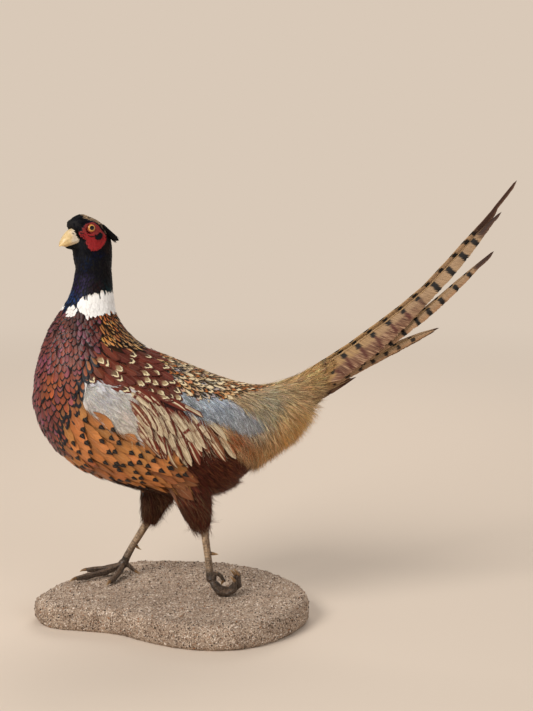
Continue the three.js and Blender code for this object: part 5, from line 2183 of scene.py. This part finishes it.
def grain_tree():
    """Scatters small stones over a mesh. Density, size and seed are inputs."""
    group = bpy.data.node_groups.new("scatter_grains", "GeometryNodeTree")
    group.interface.new_socket("Geometry", in_out="INPUT", socket_type="NodeSocketGeometry")
    group.interface.new_socket("density", in_out="INPUT", socket_type="NodeSocketFloat")
    group.interface.new_socket("grain_size", in_out="INPUT", socket_type="NodeSocketFloat")
    group.interface.new_socket("seed", in_out="INPUT", socket_type="NodeSocketInt")
    group.interface.new_socket("Geometry", in_out="OUTPUT", socket_type="NodeSocketGeometry")
    source = put(group, "NodeGroupInput").outputs
    height = put(group, "ShaderNodeSeparateXYZ", {0: put(group, "GeometryNodeInputPosition").outputs[0]})
    above = put(
        group, "FunctionNodeCompare", {0: height.outputs[2], 1: LOWEST_GRAIN}, operation="GREATER_THAN",
    )
    spots = put(group, "GeometryNodeDistributePointsOnFaces", {
        "Mesh": source["Geometry"], "Density": source["density"], "Seed": source["seed"],
        "Selection": above.outputs[0],
    })
    stone = put(group, "GeometryNodeMeshIcoSphere", {"Radius": source["grain_size"], "Subdivisions": 1})
    size = put(group, "FunctionNodeRandomValue", {
        0: (0.35, 0.35, 0.25), 1: (1.1, 1.0, 0.8), "Seed": source["seed"],
    }, data_type="FLOAT_VECTOR")
    turn = put(group, "FunctionNodeRandomValue", {1: (6.28, 6.28, 6.28)}, data_type="FLOAT_VECTOR")
    copies = put(group, "GeometryNodeInstanceOnPoints", {
        "Points": spots.outputs["Points"], "Instance": stone.outputs["Mesh"],
        "Scale": size.outputs[0], "Rotation": turn.outputs[0],
    })
    number = put(group, "FunctionNodeRandomValue", data_type="FLOAT")
    marked = put(group, "GeometryNodeStoreNamedAttribute", {
        "Geometry": copies.outputs[0], "Name": "grain", "Value": number.outputs[1],
    }, data_type="FLOAT", domain="INSTANCE")
    loose = put(group, "GeometryNodeRealizeInstances", {0: marked.outputs[0]})
    dressed = put(group, "GeometryNodeSetMaterial", {
        "Geometry": loose.outputs[0], "Material": grain_finish,
    })
    flat = put(group, "GeometryNodeSetShadeSmooth", {
        "Geometry": dressed.outputs[0], "Shade Smooth": False,
    })
    put(group, "NodeGroupOutput", {0: flat.outputs[0]})
    return group


def by_nodes(name, mesh, group, **inputs):
    """Runs a node tree on a mesh and returns the finished mesh."""
    sockets = [item for item in group.interface.items_tree if item.in_out == "INPUT"]
    values = [(item.identifier, inputs[item.name]) for item in sockets if item.name in inputs]
    return modified(name, mesh, "NODES", values, node_group=group)


grain_mesh = by_nodes(
    "sand_grains", slab_mesh.copy(), grain_tree(), density=50000.0, grain_size=0.0016, seed=12,
)
place(grain_mesh, "sand_grains", grain_finish)

# %% [markdown]
# ## The head's small feathers
# The head is covered by feathers only a few millimetres long, black with a blue gloss and two spots of
# painted blue sheen, and the crown by pointed olive ones with pale edges. They stop at the border of the
# bare face.

# %% Head feathers
CROWN_TINT = "#4c3b2e"


def crown_border(forward):
    """The height of the lower border of the pale crown, for a place along the head."""
    return np.interp(forward, [-32, -20.6, -12.6, -2.1, 7.1, 7.9], [-11, -2.3, 5.8, 12.2, 14.6, 18.6])


def crown_marking(tree, leaf):
    """Dark middle and pale buff edge."""
    rim = mask(tree, plus(tree, leaf.across, times(tree, leaf.lines, 0.3)), 0.5, 0.85)
    pale = mixed(tree, 1.0, leaf.tint, (2.1, 2.0, 1.85, 1), "MULTIPLY")
    return mixed(tree, rim, leaf.tint, pale)


FINISH["head"] = plumage(
    "head_feather", plain_marking, 0.5, 0.12, 0.2, 0.0, Specular_Tint=(0.8, 0.82, 1.0, 1.0),
)
FINISH["crown"] = plumage("crown_feather", crown_marking, 0.55, 0.35, 0.3, 0.1)


def small_feathers(name, chosen, spacing, length, width, outline, rise, seed, colours_for, finish):
    """Lays the short feathers of the head on the chosen triangles."""
    roots, normals, _ = spread(chosen, spacing, seed)
    chance = np.random.default_rng(seed + 50)
    count = len(roots)
    ways = swung(lie_at(roots, normals), normals, chance.normal(size=count) * 9)
    lengths = length * MM * (1 + 0.12 * chance.normal(size=count))
    widths = width * MM * (1 + 0.1 * chance.normal(size=count))
    made = vanes(roots, normals, ways, lengths, widths, outline, 5, 3, rise, 0.25, seed)
    coat_piece(name, finish, made, roots, colours_for(roots), chance.random(count))


def black_tints(base, seed, spots_of_colour_and_sheen):
    """Gives a rule for tints: a base and spots, by place forward and up on the head."""
    def colours_for(roots):
        chance = np.random.default_rng(seed)
        forward, _, up = head_place(roots)
        colour = all_of(base, len(roots))
        for f, u, reach, code in spots_of_colour_and_sheen:
            share = np.exp(-((forward - f) ** 2 + (up - u) ** 2) / reach ** 2)
            colour = paint(colour, share, code)
        return colour * (1 + 0.25 * chance.normal(size=(len(roots), 1)))
    return colours_for


ahead_of = triangle_middle + lie_at(triangle_middle, triangle_normal) * 3.5 * MM
forward, left, up = head_place(ahead_of)
face_gap = outside_by(np.stack([forward, up], 1), WATTLE)
bare = (face_gap < 0.1) & (np.abs(left) > 7)
on_head = (triangle_tract == TRACTS.index("neck")) & (up > -33)
on_crown = on_head & (up > crown_border(forward)) & (forward < 9)
# The head's two dark blue spots are painted blue sheen.
small_feathers(
    "head_feathers", on_head & ~bare & ~on_crown, 2.2, 7.0, 3.6, "round", 0.9, 41,
    black_tints("#0a090b", 1, [(2, 13, 6, "#10152c"), (-6, -34, 9, "#0f1430"), (-24, -20, 8, "#24150d")]),
    FINISH["head"],
)
small_feathers(
    "crown_feathers", on_crown & ~bare, 2.4, 8.5, 3.3, "pointed", 1.2, 42,
    black_tints(CROWN_TINT, 2, [(4, 17, 6, "#8f775c"), (-9, 12, 6, "#80684f")]), FINISH["crown"],
)

# %% [markdown]
# ## Ear tufts
# A cock has a tuft of longer feathers behind each ear. Each tuft follows its solid from root to tip
# as a bundle of narrow feathers that spread a little and end raggedly.

# %% Tufts
def bundle(name, node, finish, seed, count, width, colours):
    """Narrow feathers filling the room of a solid, all running the way the solid runs."""
    solid, _ = node_arrays([node], 0.0)
    chance = np.random.default_rng(seed)
    _, _, up = head_place(solid)
    top = solid[up > np.percentile(up, 85)].mean(0)
    low = solid[up < np.percentile(up, 12)].mean(0)
    middle = solid[np.abs(up - np.median(up)) < 3].mean(0)
    top, middle, low = (spot + from_head(-1.0, 0, -2.0) for spot in (top, middle, low))
    line = curve_through(top, middle, low, np.linspace(-0.25, 1, 7))
    way = unit(np.gradient(line, axis=0))
    out = unit(middle - head_middle - aside * ((middle - head_middle) @ aside))
    side_way = unit(np.cross(way, out))
    over = unit(np.cross(side_way, way))
    v = np.linspace(0, 1, 7)
    half = OUTLINE_SHAPES["blunt"](v) * width * MM / 2 + 0.06 * MM
    bodies = []
    for _ in range(count):
        angle = chance.random() * 2 * np.pi
        radius = np.sqrt(chance.random()) * 4.3 * MM
        start = chance.random() * 0.3
        reach = 0.97 - chance.random() * 0.10
        at = start + (reach - start) * v
        spine = np.stack([np.interp(at, v, line[:, a]) for a in range(3)], 1)
        flare = radius * (0.55 + 0.5 * at)
        spine += side_way * (np.cos(angle) * flare)[:, None] + over * (np.sin(angle) * flare)[:, None]
        flat = unit(np.cross(way, side_way * np.cos(angle) + over * np.sin(angle)))
        breadth = half[:, None, None] * np.array([-1, 0, 1])[None, :, None]
        top_side = spine[:, None] + flat[:, None] * breadth
        face = unit(np.cross(flat, way))
        inner = top_side[1:-1, 1:-1] - face[1:-1, None] * 0.3 * MM
        bodies.append(np.concatenate([top_side.reshape(-1, 3), inner.reshape(-1, 3)]))
    roots = np.tile(top, (count, 1)) + chance.normal(size=(count, 3)) * 0.8 * MM
    made = many_vanes(np.array(bodies), 7, 3, [0.0, 0.5, 1.0], v)
    tints = all_of(colours, count) * (1 + 0.3 * chance.normal(size=(count, 1)))
    coat_piece(name, finish, made, roots, tints, chance.random(count), [node])


for side, seed in (("left", 71), ("right", 72)):
    bundle(
        f"ear_tuft_{side}_feathers", f"ear_tuft_{side}", FINISH["head"], seed, 110, 2.6,
        "#120e0c",
    )

# %% [markdown]
# ## Eyes
# The eyes are glass. Each is a ball of the solid's size, sunk so that only a disc a little over ten
# millimetres across shows. The iris is drawn by the angle from the way the eye looks: black pupil,
# amber iris with fine spokes, and a dark rim.

# %% Eyeballs
EYE_RADIUS = (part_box("eye_left")[1][2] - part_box("eye_left")[0][2]) / 2
EYE_SHIFT = (-2.2, 0.6, 1.5)
GAZE = (0.25, 0.94, 0.15)


def side_frame(side):
    """Eye centre, gaze, and two directions across it, for one side of the head."""
    sign = 1 if side == "left" else -1
    low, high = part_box(f"eye_{side}")
    centre = np.array((low + high) / 2) + from_head(EYE_SHIFT[0], EYE_SHIFT[1] * sign, EYE_SHIFT[2])
    gaze = unit(from_head(GAZE[0], GAZE[1] * sign, GAZE[2]))
    across = unit(ahead - gaze * (ahead @ gaze))
    return centre, gaze, across, np.cross(gaze, across) * sign


def eyeball(side, finish):
    """A glass ball with a slight bulge in front, mapped by the angle from the gaze."""
    centre, gaze, across, over = side_frame(side)
    rings, turns = 40, 48
    angle = np.linspace(0, np.pi, rings)
    turn = np.linspace(0, 2 * np.pi, turns, endpoint=False)
    bulge = EYE_RADIUS * (1 + 0.035 * np.exp(-(angle / 0.42) ** 2))
    sideways = across * np.cos(turn)[:, None] + over * np.sin(turn)[:, None]
    body = centre + (
        gaze * (np.cos(angle) * bulge)[:, None, None]
        + sideways[None] * (np.sin(angle) * bulge)[:, None, None]
    )
    inner = body[1:-1].reshape(-1, 3)
    grid = np.arange(len(inner)).reshape(-1, turns)
    turned = np.roll(grid, -1, axis=1)
    quads = np.stack([grid[:-1], grid[1:], turned[1:], turned[:-1]], -1).reshape(-1, 4)
    poles = len(inner)
    caps = [(poles, grid[0, k], turned[0, k]) for k in range(turns)]
    caps += [(poles + 1, turned[-1, k], grid[-1, k]) for k in range(turns)]
    everything = np.concatenate([inner, body[0, :1], body[-1, :1]])
    caps = np.array(caps)
    if side == "right":
        quads, caps = quads[:, ::-1], caps[:, ::-1]
    mesh = build_mesh(f"eye_{side}_glass", everything, quads, caps)
    mesh.shade_smooth()
    leaf = np.zeros((len(everything), 2))
    leaf[:poles, 0] = np.repeat(angle[1:-1] / np.pi, turns)
    leaf[:poles, 1] = np.abs(np.tile(turn, rings - 2) / np.pi - 1)
    leaf[poles + 1, 0] = 1
    set_uv(mesh, "gaze", leaf)
    place(mesh, f"eye_{side}_glass", finish, [f"eye_{side}"])


def make_eye_finish():
    """A glass eye: pupil, spoked iris and dark rim, by the angle from the gaze."""
    made, tree, surface = material(
        "eye_glass", Roughness=0.25, Specular_IOR_Level=0.2, Coat_Weight=0.7, Coat_Roughness=0.02,
    )
    away, turn = map_parts(tree, "gaze")
    spokes = pattern(tree, (away, 14.0), (turn, 42.0), detail=3.0)
    iris = mixed(tree, mask(tree, spokes, 0.3, 0.7), "#a55c24", "#cf8a3e")
    iris = mixed(tree, mask(tree, away, 0.165, 0.215), "#d3964a", iris)
    iris = mixed(tree, mask(tree, away, 0.235, 0.27), iris, "#a0572a")
    colour = mixed(tree, mask(tree, away, 0.137, 0.150), "#060505", iris)
    colour = mixed(tree, mask(tree, away, 0.285, 0.3), colour, "#120c0a")
    wire(tree, colour, surface, "Base Color")
    bump(tree, surface, spokes, 0.1, 0.0002)
    return made


eye_finish = make_eye_finish()
for side in SIDES:
    eyeball(side, eye_finish)
print("eyeball radius", round(EYE_RADIUS * 1000, 2), "mm")

# %% [markdown]
# Each eye has a lid all round: a closed ring whose inner edge rests on the ball and whose outer edge
# runs out under the skin. It is a little longer than tall, with a corner behind, and finely creased.

# %% Lids
LID_PROFILE = [
    # angle from the gaze in degrees, and height over the ball in millimetres
    (50.5, -0.3), (50.0, 0.08), (51.0, 0.30), (53.0, 0.44), (56, 0.50), (60, 0.46), (65, 0.36),
    (71, 0.1), (78, -0.4), (78, -1.6), (60, -1.1),
]
LID_REDNESS = np.array([0.0, 0.1, 0.5, 0.85, 1, 1, 1, 1, 1, 1, 1])


def lids(side, finish):
    """The closed ring of lid round one eye."""
    centre, gaze, across, over = side_frame(side)
    turns = 96
    turn = np.linspace(0, 2 * np.pi, turns, endpoint=False)
    back = np.clip(-np.cos(turn + 0.35), 0, 1) ** 6
    stretch = 1 + 0.05 * np.cos(2 * turn) + 0.13 * back
    sideways = across * np.cos(turn)[:, None] + over * np.sin(turn)[:, None]
    rings = []
    for k, (angle, height) in enumerate(LID_PROFILE):
        fold = 0.08 * np.sin(turn * 5 + 2 * k) * (3 < k < 8) + 0.07 * np.sin(angle * 1.15) * (3 < k < 8)
        theta = np.radians(angle * (1 + (stretch - 1) * (1 if k < 6 else 0.5)))
        away = EYE_RADIUS + (height + fold) * MM
        ring = gaze * (np.cos(theta) * away)[:, None] + sideways * (np.sin(theta) * away)[:, None]
        rings.append(centre + ring)
    count = len(rings)
    grid = np.arange(count * turns).reshape(count, turns)
    down, turned = np.roll(grid, -1, axis=0), np.roll(grid, -1, axis=1)
    both = np.roll(down, -1, axis=1)
    quads = np.stack([grid, down, both, turned], -1).reshape(-1, 4)
    if side == "right":
        quads = quads[:, ::-1]
    mesh = build_mesh(f"eyelid_{side}", np.concatenate(rings), quads)
    mesh.shade_smooth()
    set_tint(mesh, paint(all_of("#2a1210", count * turns), np.repeat(LID_REDNESS, turns), "#9c302e"))
    place(mesh, f"eyelid_{side}", finish)


def make_lid_finish():
    """Creased red skin."""
    made, tree, surface = material("bare_skin", Roughness=0.5, Specular_IOR_Level=0.4)
    fine = noise(tree, object_place(tree), 1500.0, 3.0)
    colour = toned(tree, attribute(tree, "tint"), fine, (0.7, 0.66, 0.66), (1.25, 1.2, 1.18))
    wire(tree, colour, surface, "Base Color")
    bump(tree, surface, fine, 0.45, 0.0003)
    return made


lid_finish = make_lid_finish()
for side in SIDES:
    lids(side, lid_finish)

# %% [markdown]
# ## The wattle's warts
# The bare face is covered by round warts set in slanting rows, large on the lower lobe and small
# round the eye. Their places are computed on the skin, and Geometry Nodes puts a small dome on each,
# turned to stand on the skin and stretched along the row.

# %% Warts
# The slant of the rows of warts, and the middle of the eye in the head's forward and up.
WART_ROWS = np.radians(-28)
EYE_MIDDLE = (-0.6, 2.1)


def ray_to_skin(forward, up, side):
    """Where a ray from the side of the head meets the skin."""
    sign = 1 if side == "left" else -1
    start = head_middle + from_head(forward, 60 * sign, up)
    hit = skin_tree.ray_cast(Vector(start), Vector(-aside * sign))
    return None if hit[0] is None else (np.array(hit[0]), face_normals[hit[2]])


def wart_places(side, seed):
    """Where the warts of one side stand, with their normals, sizes and tones."""
    chance = np.random.default_rng(seed)
    spots, normals, sizes, tones = [], [], [], []
    steps = range(-60, 60)
    for (zone, pitch), j, i in product((("lobe", 1.7), ("upper", 1.05)), steps, steps):
        a = (i + 0.5 * (j % 2)) * pitch * 1.08
        b = j * pitch * 0.92
        f = a * np.cos(WART_ROWS) - b * np.sin(WART_ROWS) + chance.normal() * pitch * 0.1
        u = a * np.sin(WART_ROWS) + b * np.cos(WART_ROWS) + chance.normal() * pitch * 0.1
        lower = u < -6.5 + 0.2 * (f + 4)
        near_eye = np.hypot(f - EYE_MIDDLE[0], u - EYE_MIDDLE[1]) < 6.1
        if not (-27 < f < 18 and -30 < u < 12) or lower != (zone == "lobe") or near_eye:
            continue
        gap, patch = (outside_by(np.array([[f, u]]), outline)[0] for outline in (WATTLE, EAR_PATCH))
        found = ray_to_skin(f, u, side) if gap <= -0.5 and patch >= 0.4 else None
        if found is None:
            continue
        size = pitch * (0.52 + 0.14 * ease(-gap, 0.2, 2.5)) * (1 + 0.12 * chance.normal())
        spots.append(found[0])
        normals.append(found[1])
        sizes.append(size * (1.0 if zone == "lobe" else 0.95))
        tones.append(chance.random() * 0.5 + (0.5 if zone == "upper" else 0.0))
    return np.array(spots), np.array(normals), np.array(sizes), np.array(tones)


print("rows of warts slant by", round(math.degrees(WART_ROWS)), "degrees")

# %% [markdown]
# The dome is made once, and the node tree copies it to every place.

# %% Domes by Geometry Nodes
def wart_tree():
    """Puts a small dome on every point, stood along its normal and sized by its attribute."""
    group = bpy.data.node_groups.new("stand_warts", "GeometryNodeTree")
    group.interface.new_socket("Geometry", in_out="INPUT", socket_type="NodeSocketGeometry")
    group.interface.new_socket("height", in_out="INPUT", socket_type="NodeSocketFloat")
    group.interface.new_socket("Geometry", in_out="OUTPUT", socket_type="NodeSocketGeometry")
    source = put(group, "NodeGroupInput").outputs
    dome = put(group, "GeometryNodeMeshIcoSphere", {"Radius": 1.0, "Subdivisions": 2})
    way = put(group, "GeometryNodeInputNamedAttribute", {"Name": "stand"}, data_type="FLOAT_VECTOR")
    size = put(group, "GeometryNodeInputNamedAttribute", {"Name": "size"}, data_type="FLOAT")
    stretch = put(group, "ShaderNodeCombineXYZ", {0: 1.0, 1: 1.0, 2: source["height"]})
    scale = put(
        group, "ShaderNodeVectorMath", {0: stretch.outputs[0], "Scale": size.outputs[0]}, operation="SCALE",
    )
    turn = put(group, "FunctionNodeAlignRotationToVector", {"Vector": way.outputs[0]}, axis="Z")
    spots = put(group, "GeometryNodeMeshToPoints", {"Mesh": source["Geometry"]})
    copies = put(group, "GeometryNodeInstanceOnPoints", {
        "Points": spots.outputs[0], "Instance": dome.outputs["Mesh"],
        "Scale": scale.outputs[0], "Rotation": turn.outputs[0],
    })
    loose = put(group, "GeometryNodeRealizeInstances", {0: copies.outputs[0]})
    smooth = put(group, "GeometryNodeSetShadeSmooth", {"Geometry": loose.outputs[0]})
    dressed = put(group, "GeometryNodeSetMaterial", {
        "Geometry": smooth.outputs[0], "Material": wart_finish,
    })
    put(group, "NodeGroupOutput", {0: dressed.outputs[0]})
    return group


print("dome tree ready")

# %% [markdown]
# Warts on the lobe are deep red, and the small ones higher up are a little browner.

# %% Wart finish
def make_wart_finish():
    """Red warts with darker hollows."""
    made, tree, surface = material("wattle_warts", Roughness=0.45, Specular_IOR_Level=0.3)
    fine = noise(tree, object_place(tree), 1300.0)
    colour = mixed(tree, mask(tree, attribute(tree, "tone", "Fac"), 0.35, 0.75), "#9a1b1e", "#8e302e")
    colour = mixed(tree, times(tree, mask(tree, fine, 0.45, 0.7), 0.6), colour, "#641113")
    wire(tree, colour, surface, "Base Color")
    bump(tree, surface, fine, 0.3, 0.0003)
    return made


wart_finish = make_wart_finish()
wart_group = wart_tree()
for side, seed in (("left", 81), ("right", 82)):
    spots, stands, sizes, tones = wart_places(side, seed)
    seeds = bpy.data.meshes.new(f"wart_places_{side}")
    seeds.vertices.add(len(spots))
    seeds.vertices.foreach_set("co", spots.astype(np.float32).ravel())
    for title, kind, values in (
        ("stand", "FLOAT_VECTOR", stands), ("size", "FLOAT", sizes * MM), ("tone", "FLOAT", tones),
    ):
        layer = seeds.attributes.new(title, kind, "POINT")
        member = "vector" if kind == "FLOAT_VECTOR" else "value"
        layer.data.foreach_set(member, values.astype(np.float32).ravel())
    warts = by_nodes(f"wattle_{side}_warts", seeds, wart_group, height=0.4)
    place(warts, f"wattle_{side}_warts", wart_finish, [f"wattle_{side}"])

# %% [markdown]
# ## Ear patch, lores and the line under the eye
# Small black feathers break the red: a kidney-shaped patch behind and below the eye, a thin line
# under the eye, and dots on the lores.

# %% Small marks on the face
def face_marks(side, seed):
    """Roots, normals and sizes of the small black feathers on one side of the face."""
    chance = np.random.default_rng(seed)
    wanted = []
    for _ in range(900):
        f, u = chance.uniform(-16, -3), chance.uniform(-13, -2)
        if outside_by(np.array([[f, u]]), EAR_PATCH)[0] < 0:
            wanted.append((f, u, 3.6, 1.5))
    wanted = wanted[:150]
    for t in np.linspace(0, 1, 16):
        wanted.append((5.5 - 10.5 * t, -6.0 - 1.6 * np.sin(t * np.pi), 2.0, 0.8))
    for f, u in ((12.4, -5.6), (10.6, -6.8), (8.6, -5.2), (13.2, -3.2), (9.6, -8.6), (11.4, -3.6)):
        wanted += [(f, u, 1.7, 0.9), (f + 0.4, u + 0.2, 1.5, 0.8)]
    roots, normals, sizes = [], [], []
    for f, u, length, width in wanted:
        found = ray_to_skin(f, u, side)
        if found is not None:
            roots.append(found[0] + found[1] * 0.25 * MM)
            normals.append(found[1])
            sizes.append((length, width))
    return roots, normals, sizes


mark_roots, mark_normals, mark_sizes = (
    np.concatenate(pair) for pair in zip(face_marks("left", 91), face_marks("right", 92))
)
mark_chance = np.random.default_rng(93)
mark_swing = mark_chance.normal(size=len(mark_roots)) * 12
mark_ways = swung(lie_at(mark_roots, mark_normals), mark_normals, mark_swing)
marks = vanes(
    mark_roots, mark_normals, mark_ways, mark_sizes[:, 0] * MM, mark_sizes[:, 1] * MM, "round",
    4, 3, 0.9, 0.1, 94, base_lift=0.1,
)
coat_piece(
    "face_feathers", FINISH["head"], marks, mark_roots,
    all_of("#12181a", len(mark_roots)), mark_chance.random(len(mark_roots)),
)

# %% [markdown]
# ## The bill
# Both halves keep their solids' shape, smoothed over a fine mesh. The nostril is a slit under a soft
# swelling near the root, pressed into the mesh by its distance from a point on each side.

# %% Bill
# The middle of the nostril, in the head's forward and up.
NOSTRIL = (21.0, -4.0)
BILL_SWELL = 0.3 * MM
BILL_VOXEL = 0.42 * MM


def bill_half(node, finish):
    """One half of the bill, from its solid. The nostril is only in the upper one."""
    mesh, spots, normal = remeshed_node(node, node + "_horn", BILL_SWELL, BILL_VOXEL, 14)
    forward, left, up = head_place(spots)
    run = forward - NOSTRIL[0]
    rise = up - NOSTRIL[1] - 0.25 * run
    swell = np.exp(-(run / 4.2) ** 2 - ((rise - 0.6) / 2.6) ** 2) * (np.abs(left) > 1.5)
    slit = np.exp(-(run / 1.6) ** 2 - ((rise + 0.5) / 0.8) ** 2) * (np.abs(left) > 1.5)
    if node != "bill_upper":
        swell, slit = swell * 0, slit * 0
    growth = 0.02 * np.sin(forward * 2.1 + 0.4 * up)
    spots = spots + normal * ((0.7 * swell - 1.1 * slit + growth) * MM)[:, None]
    write_points(mesh, spots)
    mesh.shade_smooth()
    base = all_of("#dcc08e", len(spots))
    base = paint(base, 1 - ease(forward + 0.35 * up, 17, 23), "#ddd0bb")
    base = paint(base, ease(forward, 30, 41) * 0.7, "#e8d09c")
    base = paint(base, swell * 0.6, "#e0d4c2")
    base = paint(base, ease(-up + 0.1 * forward, 15, 19) * 0.5, "#c6a266")
    # The nostril slit is painted near-black, painted shade in its hollow.
    base = paint(base, slit, "#1d1512")
    set_tint(mesh, base)
    place(mesh, node + "_horn", finish, [node])


def make_bill_finish():
    """Clouded pale horn."""
    made, tree, surface = material("bill_horn", Roughness=0.32, Specular_IOR_Level=0.45)
    cloud = noise(tree, object_place(tree), 330.0, 4.0)
    fine = noise(tree, object_place(tree), 1600.0)
    colour = toned(tree, attribute(tree, "tint"), cloud, (0.9, 0.87, 0.83), (1.07, 1.06, 1.04), 0.3, 0.7)
    wire(tree, colour, surface, "Base Color")
    bump(tree, surface, plus(tree, cloud, times(tree, fine, 0.4)), 0.3, 0.0003)
    return made


bill_finish = make_bill_finish()
bill_half("bill_upper", bill_finish)
bill_half("bill_lower", bill_finish)

# %% [markdown]
# Short black bristles grow forward of the face over the root of the bill. They are rooted on the
# bill itself, in front of the border of the feathers, and point back over it.

# %% Bristles at the root of the bill
BRISTLE_LINE = ((-10.5, 15.0), (-6.4, 18.0), (-1.0, 19.6), (3.6, 21.0), (6.0, 22.0))


def bristles(count, seed):
    """Short stiff bristles over the root of the bill."""
    chance = np.random.default_rng(seed)
    horn_mesh = bpy.data.objects["bill_upper_horn"].data
    spots, normals = read(horn_mesh), read(horn_mesh, "normal")
    forward, left, up = head_place(spots)
    heights, fronts = np.array(BRISTLE_LINE).T
    front = np.interp(up, heights, fronts) + 0.5 * np.sin(up * 2.3 + left)
    ready = np.flatnonzero((forward < front) & (forward > front - 7) & (up > heights[0]))
    picked = chance.choice(ready, count)
    roots, stands = spots[picked], normals[picked]
    ways = np.tile(from_head(-0.9, 0, -0.42), (count, 1))
    ways = ways + from_head(0, 0, 1) * (0.5 * chance.normal(size=(count, 1)))
    ways = unit(ways - stands * (ways * stands).sum(1)[:, None])
    lengths = (3.2 + 2.2 * chance.random(count)) * MM
    made = strand_set(roots, stands, ways, lengths, 0.23, 0.9, seed + 1, 1.0)
    colours = all_of("#0c0a0a", count) * (0.7 + 0.8 * chance.random((count, 1)))
    coat_piece(
        "bill_bristles", FINISH["hair"], made, roots, colours, chance.random(count),
        sharp=False,
    )


bristles(1900, 97)

# %% [markdown]
# ## Triangles
# The number of triangles of the whole model is printed, with its largest piece.

# %% Finish
print("triangles", sum(TALLY.values()), "largest", max(TALLY.items(), key=lambda row: row[1]))
